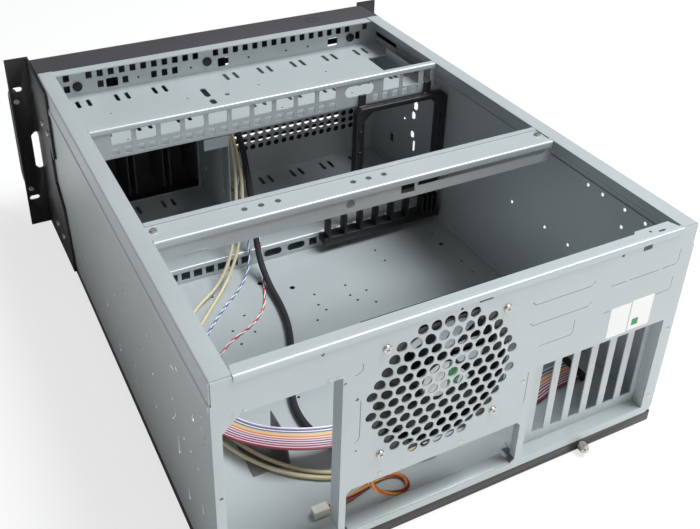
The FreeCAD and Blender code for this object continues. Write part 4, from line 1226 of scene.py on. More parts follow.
    def cover(self) -> None:
        """The shallow bottom cover and its knurled screw."""
        work = Work("cover_pan")
        work.copy("bottom_cover", 0.5)
        work.done("cover_steel", nodes=("bottom_cover",))
        screw = Work("knurled_screw")
        a, drop = self.screw_a, self.screw_drop
        grooves, ridges = circle(a, drop, 4.25, 48), circle(a, drop, 4.6, 48)
        knurl = [(ridges if k % 2 else grooves)[k] for k in range(48)]
        screw.plate(Side.REAR, -7.4, -2.1, knurl)
        cap = [
            (0.0, -10.0), (2.2, -10.0), (2.6, -9.6), (2.6, -8.2), (4.0, -7.9), (4.3, -7.4),
            (0.0, -7.4),
        ]
        screw.spun(Side.REAR, a, drop, cap)
        shank = [
            (0.0, -2.1), (4.2, -2.1), (3.4, -1.4), (3.4, -0.1), (1.7, -0.1), (1.7, 6.6),
            (1.3, 7.0), (0.0, 7.0),
        ]
        screw.spun(Side.REAR, a, drop, shank)
        screw.done("nickel", nodes=("thumb_screw",))

    def build(self) -> None:
        """Makes the whole shell."""
        self.base()
        self.walls()
        self.front()
        self.cover()


@dataclass
class Cage:
    """Bay plates, partition, crossbar, cross brace, comb and brackets."""

    sheet: float = CASE.sheet
    rear: float = 371.0
    upper: float = 33.0
    lower: float = 188.5
    foot: float = 204.6
    pitch: float = 43.9

    def pairs(self, rows: Sequence[float], skipped: Sequence[int]) -> list[list[Pair]]:
        """Pairs of round-ended drive slots on the bay pitch.

        Args:
            rows: Where each row of slots starts, from the rear.
            skipped: The numbers of the bays that have none.

        Returns:
            The slots' outlines.
        """
        cuts = []
        for k in range(9):
            middle = 41.4 + self.pitch * k
            for d in rows:
                for a in (middle - 6.1, middle + 6.1):
                    if k not in skipped and a + 2.3 < 410.0:
                        cuts.append(slotted(a - 2.25, a + 2.25, d, d + 19.0))
        return cuts

    def upper_plate(self) -> None:
        """The top of the drive bays and the windowed crossbar folded up from it."""
        work = Work("upper_plate")
        left, right, back = CASE.flange, CASE.flange_right, self.rear
        cuts = self.pairs((417.0, 497.0), (3,))
        cuts += [
            slotted(170.0, 177.0, 464.0, 488.0), slotted(170.0, 177.0, 444.0, 457.0),
            rounded(192.0, 197.0, 459.0, 464.0, 0.5),
            rounded(390.0, 416.4, 418.0, 483.5, 1.5),
        ]
        rounds = [(a, d, 1.3) for a in (62.0, 150.0, 237.0, 325.0) for d in (404.0, 470.0)]
        work.plate(Side.LEVEL, self.upper, self.upper + self.sheet, self.flat(), cuts, rounds)
        under, over = self.upper + self.sheet, self.upper - 3.0
        fold = folded([(back + 4.0, under), (back, under), (back, over)], self.sheet)
        work.plate(Side.FLANK, left, right, fold)
        web = [(left, 4.0), (right, 4.0), (right, over), (left, over)]
        holes = [rounded(37.7 + 25.4 * k, 58.2 + 25.4 * k, 5.0, 18.0, 1.2, 3) for k in range(10)]
        holes += [slotted(298.0, 334.5, 7.6, 20.6)]
        holes += [rounded(a, a + 21.0, 5.0, 20.5, 1.2, 3) for a in (346.4, 371.7)]
        holes += [rounded(398.6, 409.0, 5.0, 20.5, 1.0, 3)]
        small = [37.3 + 12.7 * k for k in range(20)] + [333.0 + 12.7 * k for k in range(5)]
        holes += [rounded(a, a + 7.6, 22.5, 29.6, 0.8, 2) for a in small]
        work.plate(Side.REAR, back, back + self.sheet, web, holes)
        top = folded([(back + 6.0, 0.0), (back, 0.0), (back, 4.0)], self.sheet)
        work.plate(Side.FLANK, left, right, top)
        self.cheeks(work, self.upper, self.upper + 14.0)
        work.block((416.4, 418.0, self.upper - 9.0), (417.6, 483.5, self.upper + 0.6))
        work.done("case_steel", nodes=("upper_bay_plate",))

    def flat(self) -> list[Pair]:
        """The outline of either bay plate, in front of its fold."""
        left, right, near, far = self.sheet, CASE.right, self.rear + 4.0, CASE.far
        return [(left, near), (right, near), (right, far), (left, far)]

    def cheeks(self, work: Work, top: float, bottom: float) -> None:
        """The two sides of a bay plate, which lie against the walls.

        Args:
            work: The plate.
            top: Their upper edge.
            bottom: Their lower edge.
        """
        near, far = self.rear + 8.0, CASE.far - 2.0
        for a in (self.sheet, CASE.right - self.sheet):
            work.block((a, near, top), (a + self.sheet, far, bottom))

    def lower_plate(self) -> None:
        """The bottom of the drive bays and the windowed strip folded down from it."""
        work = Work("lower_plate")
        back, top, foot = self.rear, self.lower, self.foot
        left, right = 2.0 * self.sheet, CASE.right - self.sheet
        cuts = self.pairs((419.0, 499.0), (3,))
        work.plate(Side.LEVEL, top, top + self.sheet, self.flat(), cuts)
        fold = folded([(back + 4.0, top), (back, top), (back, top + 4.0)], self.sheet)
        work.plate(Side.FLANK, left, right, fold)
        web = [(left, top + 4.0), (right, top + 4.0), (right, foot), (left, foot)]
        small = [26.0 + 14.35 * k for k in range(11)]
        holes = [rounded(a, a + 10.0, 194.0, 203.8, 0.8, 2) for a in small]
        holes += [slotted(a, a + 22.5, 194.0, 203.8) for a in (197.6, 227.3, 272.0)]
        holes += [rounded(255.5, 265.7, 194.0, 203.8, 0.8, 2)]
        work.plate(Side.REAR, back, back + self.sheet, web, holes)
        low = Shell.floor
        flange = folded([(back, foot), (back, low), (back + 12.0, low)], -self.sheet)
        work.plate(Side.FLANK, left, right, flange)
        self.cheeks(work, top - 12.0, top + 0.6)
        work.done("case_steel", nodes=("lower_bay_plate",))

    def brace(self) -> None:
        """The inverted channel across the open top."""
        work = Work("brace_channel")
        d0, d1, web, left, right = 165.5, 195.3, 20.0, CASE.flange, CASE.flange_right
        for near, sign in ((d0, 1.0), (d1, -1.0)):
            bend = [(near + sign * 5.0, 0.0), (near, 0.0), (near, 5.0)]
            work.plate(Side.FLANK, left, right, folded(bend, self.sheet * sign))
        top = [(left, d0 + 5.0), (right, d0 + 5.0), (right, d1 - 5.0), (left, d1 - 5.0)]
        rounds = [(a, 181.7, 2.9) for a in (100.4, 115.7, 131.3, 204.2, 219.7, 235.5)]
        rounds += [(a, 182.6, 1.8) for a in (21.8, 408.2)]
        work.plate(Side.LEVEL, 0.0, self.sheet, top, (), rounds)
        side = [(left, 5.0), (right, 5.0), (right, web), (left, web)]
        work.plate(Side.REAR, d1 - self.sheet, d1, side)
        cuts = [slotted(262.0, 405.0, 5.8, 10.6), rounded(244.7, 259.0, 5.4, 15.3, 0.8, 2)]
        work.plate(Side.REAR, d0, d0 + self.sheet, side, cuts, [(193.5, 11.2, 4.5)])
        dimple = [
            (0.0, d0 + 0.3), (1.6, d0 + 0.2), (3.4, d0 - 0.25), (4.6, d0), (4.6, d0 + 0.4),
            (0.0, d0 + 0.4),
        ]
        work.spun(Side.REAR, 121.0, 12.6, dimple)
        work.block((40.0, d0 - 0.25, 17.0), (62.0, d0 + 0.3, 17.8), 0.2)
        work.done("case_steel", nodes=("cross_brace",))

    def fixtures(self) -> None:
        """Partition, comb, fan bracket and supply bracket."""
        for name, node, slot, edge in (
            ("bay_divider", "bay_partition", "case_steel", 0.3),
            ("comb_moulding", "card_comb", "black_plastic", 0.5),
            ("fan_holder", "fan_bracket", "black_plastic", 0.8),
            ("supply_bracket", "psu_bracket", "bracket_steel", 0.3),
        ):
            work = Work(name)
            work.copy(node, edge)
            if node == "fan_bracket":
                for drop in (60.0, 86.0, 112.0, 138.0):
                    for a in (311.5, 417.4):
                        work.block((a, 359.6, drop), (a + 4.2, 361.4, drop + 12.0), 0.4)
            work.done(slot, nodes=(node,))

    def build(self) -> None:
        """Makes the whole cage."""
        self.upper_plate()
        self.lower_plate()
        self.brace()
        self.fixtures()


# ---------------------------------------------------------------- front moulding and ears
@dataclass
class Front:
    """Moulded front, bay covers, controls, ears and handles."""

    face: float = 587.0
    bar: float = 9.0
    reach: float = 38.0
    bend: float = 12.0
    from_wall: float = 20.0
    handle_top: float = 51.7
    handle_bottom: float = 169.75
    button_a: float = 200.0

    def moulding(self) -> None:
        """The bezel with the raised square on its top, and the four bay covers."""
        work = Work("front_moulding")
        work.copy("bezel", 0.8)
        ring = rounded(340.5, 355.5, 546.0, 561.0, 1.0, 3)
        hole = rounded(342.0, 354.0, 547.5, 559.5, 0.6, 3)
        work.plate(Side.LEVEL, -0.35, 0.2, ring, [hole])
        work.done("bezel_plastic", nodes=("bezel",))
        for k in range(1, 5):
            node = f"bay_cover_{k}"
            cover = Work(f"cover_of_bay_{k}")
            cover.copy(node, 0.6)
            cover.done("bezel_plastic", nodes=(node,))

    def button(self, name: str, node: str, body: str, drop: float, radius: float) -> None:
        """One round push button with a dished cap.

        Args:
            name: The piece's name.
            node: The node it stands for.
            body: The body it rides on.
            drop: Its axis below the top edge.
            radius: Its cap's radius.
        """
        work = Work(name)
        inner, out, tail = self.face - 2.5, self.face + 1.5, 573.2
        line = [
            (0.0, out - 0.5), (radius * 0.6, out - 0.3), (radius - 0.8, out),
            (radius - 0.2, out - 0.25), (radius - 0.05, out - 0.9),
            (radius - 0.05, inner - 0.3), (radius + 1.5, inner - 0.3),
            (radius + 1.5, inner - 2.5), (1.5, inner - 2.5), (1.5, tail), (0.0, tail),
        ]
        work.spun(Side.REAR, self.button_a, drop, line, 32)
        work.done("black_plastic", nodes=(node,), body=body)

    def ears(self) -> None:
        """The two folded ears and their round-bar handles."""
        places = (("left", -self.from_wall), ("right", CASE.wide + self.from_wall))
        for word, a in places:
            ear = Work(f"rack_ear_{word}")
            ear.copy(f"ear_{word}", 0.4)
            ear.done("ear_steel", nodes=(f"ear_{word}",))
            bar = Work(f"grip_{word}")
            self.grip(bar, a)
            bar.done("ear_steel", nodes=(f"handle_{word}",))

    def grip(self, work: Work, a: float) -> None:
        """A bent bar: straight, turned, straight, turned and straight again.

        Args:
            work: The piece that it is added to.
            a: The bar's place across the case.
        """
        part = bmesh.new()
        bend, top, bottom = self.bend, self.handle_top, self.handle_bottom
        radius = self.bar / 2.0
        out = self.face + self.reach - radius
        turn = Matrix.Rotation(math.pi / 2.0, 4, "Y")
        start = Matrix.Translation((self.face, top, a)) @ turn
        bmesh.ops.create_circle(part, cap_ends=True, segments=24, radius=radius, matrix=start)
        ring = part.edges[:]
        ring = self.straight(part, ring, (out - bend - self.face, 0.0, 0.0))
        ring = self.quarter(part, ring, (out - bend, top + bend, a))
        ring = self.straight(part, ring, (0.0, bottom - top - 2.0 * bend, 0.0))
        ring = self.quarter(part, ring, (out - bend, bottom - bend, a))
        ring = self.straight(part, ring, (self.face - out + bend, 0.0, 0.0))
        bmesh.ops.edgeloop_fill(part, edges=ring)
        work.take(part, 0, Side.FLANK)

    @staticmethod
    def straight(
        part: bmesh.types.BMesh, ring: list[bmesh.types.BMEdge], step: Place
    ) -> list[bmesh.types.BMEdge]:
        """Pulls an open end straight on.

        Args:
            part: The bar.
            ring: The edges of its open end.
            step: How far the end is pulled.

        Returns:
            The edges of the new end.
        """
        grown = bmesh.ops.extrude_edge_only(part, edges=ring)["geom"]
        moved = [g for g in grown if isinstance(g, bmesh.types.BMVert)]
        bmesh.ops.translate(part, verts=moved, vec=step)
        return [g for g in grown if isinstance(g, bmesh.types.BMEdge)]

    @staticmethod
    def quarter(
        part: bmesh.types.BMesh, ring: list[bmesh.types.BMEdge], centre: Place
    ) -> list[bmesh.types.BMEdge]:
        """Turns an open end a quarter round a centre.

        Args:
            part: The bar.
            ring: The edges of its open end.
            centre: The centre of the turn.

        Returns:
            The edges of the new end.
        """
        grown = bmesh.ops.spin(
            part, geom=ring, cent=centre, axis=(0.0, 0.0, 1.0), angle=math.pi / 2.0, steps=9
        )["geom_last"]
        return [g for g in grown if isinstance(g, bmesh.types.BMEdge)]

    def build(self) -> None:
        """Makes the whole front."""
        self.moulding()
        self.button("power_cap", "power_button", "power", 60.0, 6.0)
        self.button("reset_cap", "reset_button", "reset", 84.0, 3.5)
        self.ears()


# ---------------------------------------------------------------- screws and clips
@dataclass
class Fasteners:
    """Every screw and push clip of the case."""

    turn: float = 0.5
    rise: float = -1.8
    brace_d: float = 182.6
    clips: tuple[Pair, ...] = ((41.5, 22.0), (196.4, 20.0), (389.8, 22.0))

    def cross(self, u: float, v: float, size: float) -> list[Pair]:
        """Outline of a cross recess, turned a little.

        Args:
            u: Its centre across.
            v: Its centre down.
            size: The length of each arm.

        Returns:
            The outline's corners.
        """
        arm, half = size, size * 0.24
        points = (
            (arm, half), (half, half), (half, arm), (-half, arm), (-half, half), (-arm, half),
            (-arm, -half), (-half, -half), (-half, -arm), (half, -arm), (half, -half),
            (arm, -half),
        )
        c, s = math.cos(self.turn), math.sin(self.turn)
        return [(u + x * c - y * s, v + x * s + y * c) for x, y in points]

    def head(
        self, work: Work, side: Side, u: float, v: float, w: float, out: float, radius: float
    ) -> None:
        """A low pan head with a cross recess.

        Args:
            work: The piece it belongs to.
            side: The side it is screwed into.
            u: Its place across.
            v: Its place down.
            w: The surface it bears on.
            out: The signed height of the head.
            radius: The head's radius.
        """
        crown = w + out
        top = circle(u, v, radius * 0.82, 24)
        hole = self.cross(u, v, radius * 0.52)
        work.plate(side, crown, crown - out * 0.35, top, [hole])
        line = [
            (0.0, w), (radius, w), (radius, w + out * 0.35), (radius * 0.94, w + out * 0.65),
            (radius * 0.815, crown - out * 0.02), (radius * 0.8, w + out * 0.64),
            (0.0, w + out * 0.64),
        ]
        work.spun(side, u, v, line)

    def fan_screws(self) -> None:
        """The four screws of the rear fan."""
        work = Work("grille_screws")
        shank = [(0.0, 0.0), (1.8, 0.0), (1.8, 10.4), (1.2, 11.0), (0.0, 11.0)]
        half = CASE.fan_screws / 2.0
        for a in (CASE.fan_a - half, CASE.fan_a + half):
            for drop in (CASE.fan_drop - half, CASE.fan_drop + half):
                self.head(work, Side.REAR, a, drop, 0.0, self.rise, 3.6)
                work.spun(Side.REAR, a, drop, shank, 12)
        work.done("nickel", nodes=("fan_screws",))

    def brace_screws(self) -> None:
        """The two screws of the cross brace."""
        work = Work("channel_screws")
        shank = [(0.0, 0.0), (1.5, 0.0), (1.5, CASE.sheet), (0.0, CASE.sheet)]
        for a in (21.8, 408.2):
            self.head(work, Side.LEVEL, a, self.brace_d, 0.0, self.rise, 3.4)
            work.spun(Side.LEVEL, a, self.brace_d, shank, 12)
        work.done("nickel", nodes=("brace_screws",))

    def ear_screws(self) -> None:
        """The screws that hold the ears, and those that hold the handles."""
        ears = Work("wall_screws")
        grips = Work("grip_screws")
        behind = Front.face - 3.0
        for a, sign in ((0.0, -1.0), (CASE.wide, 1.0)):
            for d, drop in ((522.0, 55.0), (495.0, 55.0), (520.0, 188.0), (490.0, 188.0)):
                self.head(ears, Side.FLANK, d, drop, a + sign * 3.0, sign * 2.2, 3.6)
            for drop in (Front.handle_top, Front.handle_bottom):
                across = a + sign * Front.from_wall
                self.head(grips, Side.REAR, across, drop, behind, -2.4, 3.4)
        ears.done("nickel", nodes=("ear_screws",))
        grips.done("nickel", nodes=("handle_screws",))

    def push_clips(self) -> None:
        """The three round clips at the front sheet."""
        work = Work("round_clips")
        line = [
            (0.0, 526.8), (2.4, 526.9), (2.6, 527.6), (3.4, 527.6), (3.6, 526.9),
            (4.6, 527.1), (5.5, 528.2), (5.5, CASE.far), (0.0, CASE.far),
        ]
        for a, drop in self.clips:
            work.spun(Side.REAR, a, drop, line)
        work.done("black_plastic", nodes=("push_clips",))

    def build(self) -> None:
        """Makes every screw and clip."""
        self.fan_screws()
        self.brace_screws()
        self.ear_screws()
        self.push_clips()


# ---------------------------------------------------------------- rear fan
@dataclass
class Fan:
    """The rear fan's frame, its hub and its swept blades."""

    a: float = CASE.fan_a
    drop: float = CASE.fan_drop
    hub: float = 19.0
    tip: float = 56.2
    root: float = 0.8
    thick: float = 1.3
    sweep: float = 0.32
    bore: float = 1.55
    sticker: float = 16.4
    blades: int = 7

    def vane(self, work: Work, start: float) -> None:
        """One swept and twisted blade, bent from a flat grid.

        Args:
            work: The piece that it is added to.
            start: Its angle round the hub in radians.
        """
        part = bmesh.new()
        bmesh.ops.create_grid(part, x_segments=8, y_segments=8, size=0.5)
        for corner in part.verts:
            along, across = corner.co.x + 0.5, corner.co.y
            radius = self.hub - self.root + (self.tip - self.hub + self.root) * along
            chord = math.radians(38.0 + 4.0 * along)
            turn = start + across * chord + self.sweep * along ** 1.5
            lift = 12.4 + across * (17.0 - 5.0 * along) + 1.2 * math.cos(across * math.pi)
            u, v = self.a + radius * math.cos(turn), self.drop + radius * math.sin(turn)
            corner.co = (u, v, lift)
        bmesh.ops.solidify(part, geom=part.faces[:], thickness=self.thick)
        work.take(part, 0, Side.REAR)

    def build(self) -> None:
        """Makes the frame and the rotor."""
        frame = Work("fan_housing")
        frame.copy("fan_frame", 0.5)
        frame.done("fan_plastic", nodes=("fan_frame",))
        rotor = Work("fan_wheel")
        hub = [
            (self.bore, 6.2), (self.bore, 3.6), (2.6, 3.2), (self.hub - 2.2, 3.2),
            (self.hub - 0.6, 3.9), (self.hub, 5.4), (self.hub, 22.2), (self.bore, 22.2),
            (self.bore, 6.2),
        ]
        rotor.spun(Side.REAR, self.a, self.drop, hub, 48)
        for k in range(self.blades):
            self.vane(rotor, math.tau * k / self.blades)
        rotor.plate(Side.REAR, 3.06, 3.2, circle(self.a, self.drop, self.sticker, 48), coat=1)
        inner = self.sticker - 0.4
        band = [p for p in circle(self.a, self.drop, inner, 48) if p[0] > self.a + 0.28 * inner]
        band.sort(key=lambda spot: math.atan2(spot[1] - self.drop, spot[0] - self.a))
        rotor.plate(Side.REAR, 3.0, 3.08, band, coat=2)
        coats = ("fan_plastic", "paper_label", "green_label")
        rotor.done("fan_plastic", coats, ("fan_rotor",), "rotor")


# ---------------------------------------------------------------- cables
@dataclass(frozen=True)
class Route:
    """A cable's chosen route: control points of one smooth spline, in case millimetres."""

    name: str
    points: tuple[Place, ...]

    def spline(self, fine: int = 12) -> bpy.types.Curve:
        """The route as a curve of one open spline.

        Args:
            fine: Steps to each control point.

        Returns:
            The curve.
        """
        curve = bpy.data.curves.new(self.name, "CURVE")
        curve.dimensions = "3D"
        curve.resolution_u = fine
        line = curve.splines.new("NURBS")
        line.points.add(len(self.points) - 1)
        for spot, point in zip(line.points, self.points):
            spot.co = (*Work.datum.at(*point), 1.0)
        line.order_u = 3
        line.use_endpoint_u = True
        return curve

    def line(self, fine: int = 12) -> list[Vector]:
        """Points read from the route's spline.

        Args:
            fine: Steps to each control point.

        Returns:
            The points in metres.
        """
        curve = self.spline(fine)
        carrier = bpy.data.objects.new("route", curve)
        mesh = bpy.data.meshes.new_from_object(carrier)
        spots = [corner.co.copy() for corner in mesh.vertices]
        bpy.data.objects.remove(carrier)
        bpy.data.curves.remove(curve)
        bpy.data.meshes.remove(mesh)
        return spots

    def length(self) -> float:
        """Length of the spline in metres."""
        spots = self.line()
        return sum((b - a).length for a, b in zip(spots, spots[1:]))

    def exit(self) -> Vector:
        """Where the cable starts, in metres."""
        return Work.datum.at(*self.points[0])


def carried(spots: Sequence[Vector]) -> list[tuple[Vector, Vector, Vector]]:
    """Frames carried along a line without twist.

    Args:
        spots: The line's points.

    Returns:
        For each point the point itself and two directions across the line.
    """
    frames = []
    across = Vector((0, 0, 1)).cross(spots[1] - spots[0])
    if across.length < UPRIGHT:
        across = Vector((1, 0, 0))
    for k, spot in enumerate(spots):
        along = (spots[min(k + 1, len(spots) - 1)] - spots[max(k - 1, 0)]).normalized()
        across = (across - along * across.dot(along)).normalized()
        frames.append((spot, across, along.cross(across)))
    return frames


def walked(spots: Sequence[Vector]) -> list[float]:
    """How far along a line each of its points lies.

    Args:
        spots: The line's points.

    Returns:
        The distance from its start, for each point.
    """
    steps = ((far - near).length for near, far in zip(spots, spots[1:]))
    return list(accumulate(steps, initial=0.0))


def sleeve(
    work: Work, spots: Sequence[Vector], radius: float, sides: int, coat: int
) -> None:
    """Adds a closed tube on a line, with a UV map round it and along it.

    Args:
        work: The piece it belongs to.
        spots: The line's points, in metres.
        radius: The tube's radius in metres.
        sides: Facets round it.
        coat: Number of its finish.
    """
    part = bmesh.new()
    uv = part.loops.layers.uv.new("along")
    reach = walked(spots)
    turns = [math.tau * s / sides for s in range(sides)]
    rings = []
    for spot, across, up in carried(spots):
        out = [(across * math.cos(t) + up * math.sin(t)) * radius for t in turns]
        rings.append([part.verts.new(spot + step) for step in out])
    for k, (near, far) in enumerate(zip(rings, rings[1:])):
        for s in range(sides):
            n = (s + 1) % sides
            surface = part.faces.new((near[s], near[n], far[n], far[s]))
            places = ((s, k), (s + 1, k), (s + 1, k + 1), (s, k + 1))
            for loop, (u, v) in zip(surface.loops, places):
                loop[uv].uv = (u / sides, reach[v])
    part.faces.new(rings[0][::-1])
    part.faces.new(rings[-1])
    work.take(part, coat)


@dataclass
class Harness:
    """Every cable that the case is supplied with, and its plugs."""

    usb: float = 0.0040
    loom: float = 0.0070
    pair: float = 0.0026
    lead: float = 0.0040
    ribbon: float = 0.0254
    blue_turn: float = 0.013
    red_turn: float = 0.018
    lead_turn: float = 0.09
    wires: int = 20
    lobe: int = 4

    usb_1: Route = Route("usb_lead_1", (
        (184.5, 529.8, 50.0), (184.5, 492.0, 50.5), (184.6, 456.0, 56.0), (184.2, 424.0, 78.0),
        (177.0, 397.0, 112.0), (165.0, 374.0, 148.0), (150.0, 354.0, 180.0), (127.0, 339.0, 202.0),
        (98.0, 323.0, 205.8), (70.0, 290.0, 206.2), (46.0, 250.0, 206.0), (38.0, 205.0, 206.2),
        (44.0, 161.0, 205.9), (58.0, 118.0, 204.6), (81.0, 84.0, 204.6), (114.0, 59.0, 206.0),
        (150.0, 46.5, 206.0), (184.0, 42.0, 202.4), (206.0, 42.0, 202.0)))
    usb_2: Route = Route("usb_lead_2", (
        (189.5, 529.8, 54.0), (189.5, 492.0, 54.5), (189.3, 456.0, 60.0), (188.0, 424.0, 80.0),
        (184.0, 396.0, 110.0), (174.0, 376.0, 146.0), (160.0, 359.0, 180.0), (139.0, 342.0, 202.3),
        (112.0, 315.0, 205.7), (82.0, 283.0, 206.2), (60.0, 247.0, 206.0), (48.0, 206.0, 206.2),
        (52.0, 166.0, 205.9), (65.0, 124.0, 204.6), (86.0, 90.0, 204.6), (117.0, 64.0, 206.0),
        (152.0, 52.0, 206.0), (184.0, 50.0, 202.4), (206.0, 50.0, 202.0)))
    sleeved: Route = Route("sleeved_loom", (
        (197.0, 529.8, 50.0), (197.0, 490.0, 50.5), (197.0, 452.0, 57.0), (195.0, 420.0, 82.0),
        (192.0, 396.0, 118.0), (188.0, 375.0, 156.0), (184.0, 354.0, 188.0), (182.0, 322.0, 203.0),
        (180.0, 285.0, 204.8), (172.0, 247.0, 204.6), (157.0, 210.0, 204.8), (139.0, 175.0, 204.6),
        (127.0, 140.0, 204.8), (130.0, 104.0, 204.6), (150.0, 76.0, 204.6), (180.0, 60.0, 203.8),
        (206.0, 60.0, 203.8)))
    blue: Route = Route("blue_twist", (
        (185.0, 529.8, 64.0), (185.0, 492.0, 64.5), (184.8, 456.0, 70.0), (184.5, 424.0, 92.0),
        (182.5, 398.0, 128.0), (180.0, 376.0, 168.0), (173.0, 354.0, 198.0), (152.0, 333.0, 206.7),
        (122.0, 308.0, 206.5), (92.0, 277.0, 206.7), (70.0, 240.0, 206.5), (68.0, 205.0, 206.6)))
    red: Route = Route("red_twist", (
        (191.0, 529.8, 64.0), (191.0, 492.0, 64.5), (191.0, 456.0, 70.0), (192.0, 424.0, 96.0),
        (193.5, 398.0, 136.0), (193.5, 374.0, 176.0), (187.0, 350.0, 202.0), (176.0, 320.0, 206.7),
        (163.0, 290.0, 206.5), (139.0, 269.0, 206.7), (107.0, 256.0, 206.5), (84.0, 231.0, 206.7),
        (81.0, 202.0, 206.6)))
    fan: Route = Route("fan_lead", (
        (135.0, 17.5, 133.4), (135.0, 17.5, 154.0), (136.0, 17.8, 174.0), (143.0, 17.8, 190.0),
        (155.0, 17.5, 200.5), (170.6, 17.0, 205.8), (179.0, 22.5, 206.0), (179.0, 32.5, 206.0),
        (170.6, 38.0, 206.0), (156.0, 38.5, 205.8), (140.0, 34.0, 205.6), (122.0, 29.5, 204.0),
        (105.0, 29.0, 203.8)))
    flat: Route = Route("flat_ribbon", (
        (52.0, 200.0, 199.0), (52.0, 164.0, 199.0), (67.0, 125.0, 191.0), (91.0, 91.0, 178.4),
        (126.0, 76.0, 179.0), (166.0, 77.0, 187.0), (212.0, 80.0, 196.0), (256.0, 71.0, 202.6),
        (296.0, 60.0, 205.4), (334.0, 61.0, 205.6), (366.0, 71.0, 205.2), (396.0, 71.0, 205.2)))

    def plugs(self) -> dict[str, bpy.types.Object]:
        """The connectors on the cables' ends.

        Returns:
            Each by the node that it stands for.
        """
        made = {}
        pins = ("black_plastic", "nickel")
        usb = Work("pin_header_plug")
        usb.block((206.0, 39.0, 198.5), (218.6, 53.0, 205.5), 0.35)
        for d in (41.3, 43.8, 46.3, 48.8):
            usb.block((209.0, d, 198.35), (214.0, d + 1.3, 198.7), 0.1, 1)
            usb.block((218.3, d, 200.0), (220.0, d + 1.2, 201.2), 0.1, 1)
            usb.block((218.3, d, 202.6), (220.0, d + 1.2, 203.8), 0.1, 1)
        made["usb_plug"] = usb.done("black_plastic", pins, ("usb_plug",))
        loom = Work("loom_header_plug")
        loom.block((206.0, 55.5, 199.3), (222.0, 64.5, 208.3), 0.4)
        for d in (57.0, 60.4):
            loom.block((210.0, d, 199.2), (216.0, d + 2.0, 199.6), 0.1, 1)
        made["loom_plug"] = loom.done("black_plastic", pins, ("loom_plug",))
        for word, route in (("blue", self.blue), ("red", self.red)):
            a, d, drop = route.points[-1]
            pin = Work(f"{word}_pin_plug")
            pin.block((a - 3.0, d - 12.0, drop - 1.25), (a + 3.0, d, drop + 1.25), 0.25)
            for u in (-1.9, 0.7):
                low, high = (a + u, d - 8.0, drop - 1.33), (a + u + 1.2, d - 3.4, drop - 1.1)
                pin.block(low, high, 0.08, 1)
            node = f"{word}_plug"
            made[node] = pin.done("black_plastic", pins, (node,))
        drive = Work("four_way_connector")
        drive.block((91.0, 25.0, 199.8), (105.0, 33.0, 207.8), 0.6)
        drive.block((92.6, 25.1, 199.7), (94.4, 32.9, 200.1), 0.15)
        drive.block((97.4, 25.1, 199.7), (103.2, 32.9, 200.0), 0.15)
        for d in (25.6, 27.4, 29.2, 31.0):
            drive.block((90.4, d, 202.8), (91.3, d + 1.2, 204.6), 0.15, 1)
        pins = ("white_plastic", "nickel")
        made["drive_connector"] = drive.done("white_plastic", pins, ("drive_connector",))
        ends = Work("ribbon_ends")
        for low, high, edge in (
            ((37.0, 200.0, 195.8), (67.0, 205.0, 202.2), 0.35),
            ((37.0, 205.6, 196.4), (67.0, 207.0, 201.6), 0.35),
            ((396.0, 56.0, 202.0), (401.0, 86.0, 208.3), 0.35),
            ((401.6, 56.0, 202.6), (403.0, 86.0, 208.3), 0.35),
            ((38.0, 204.6, 197.0), (66.0, 206.0, 201.0), 0.1),
            ((400.6, 57.0, 203.2), (402.0, 85.0, 208.0), 0.1),
        ):
            ends.block(low, high, edge)
        made["ribbon_sockets"] = ends.done("black_plastic", nodes=("ribbon_sockets",))
        return made

    def usb_lead(self, route: Route, node: str) -> None:
        """A plain round cable as a bevelled curve.

        Args:
            route: Its route.
            node: The node it stands for.
        """
        curve = route.spline()
        curve.bevel_depth = self.usb / 2.0
        curve.bevel_resolution = 4
        curve.use_fill_caps = True
        curve.materials.append(Work.shelf.made["beige_cable"])
        piece = hang(bpy.data.objects.new(route.name, curve), (node,))
        route.exit()
        route.length()

    def strands(
        self,
        route: Route,
        node: str,
        wide: float,
        slot: str,
        coats: Sequence[str],
        pitch: float,
        plug: bpy.types.Object,
    ) -> None:
        """Thin wires twisted round a route.

        Args:
            route: The route of the whole.
            node: The node it stands for.
            wide: Diameter of the whole in metres.
            slot: Its material slot.
            coats: One finish to each wire.
            pitch: Length of one turn in metres.
            plug: The plug on it; not used.
        """
        count = len(coats)
        thin = wide / (2.0 + 2.0 / math.sin(math.pi / count)) if count > 2 else wide / 4.0
        orbit = wide / 2.0 - thin
        spots = route.line(24)
        work = Work(route.name)
        frames = carried(spots)
        angles = [math.tau * reach / pitch for reach in walked(spots)]
        for wire in range(count):
            phase = math.tau * wire / count
            line = [
                spot + (across * math.cos(t + phase) + up * math.sin(t + phase)) * orbit
                for (spot, across, up), t in zip(frames, angles)
            ]
            sleeve(work, line, thin * 0.98, 8, wire)
        piece = work.done(slot, coats, (node,), smooth=60.0)
        route.exit()
        route.length()

    def sleeved_loom(self, plug: bpy.types.Object) -> None:
        """The thick loom in its woven sleeve.

        Args:
            plug: The plug on it; not used.
        """
        spots = self.sleeved.line()
        work = Work(self.sleeved.name)
        sleeve(work, spots, self.loom / 2.0, 24, 0)
        piece = work.done("black_sleeve", nodes=("front_loom",), smooth=60.0)
        self.sleeved.exit()
        self.sleeved.length()

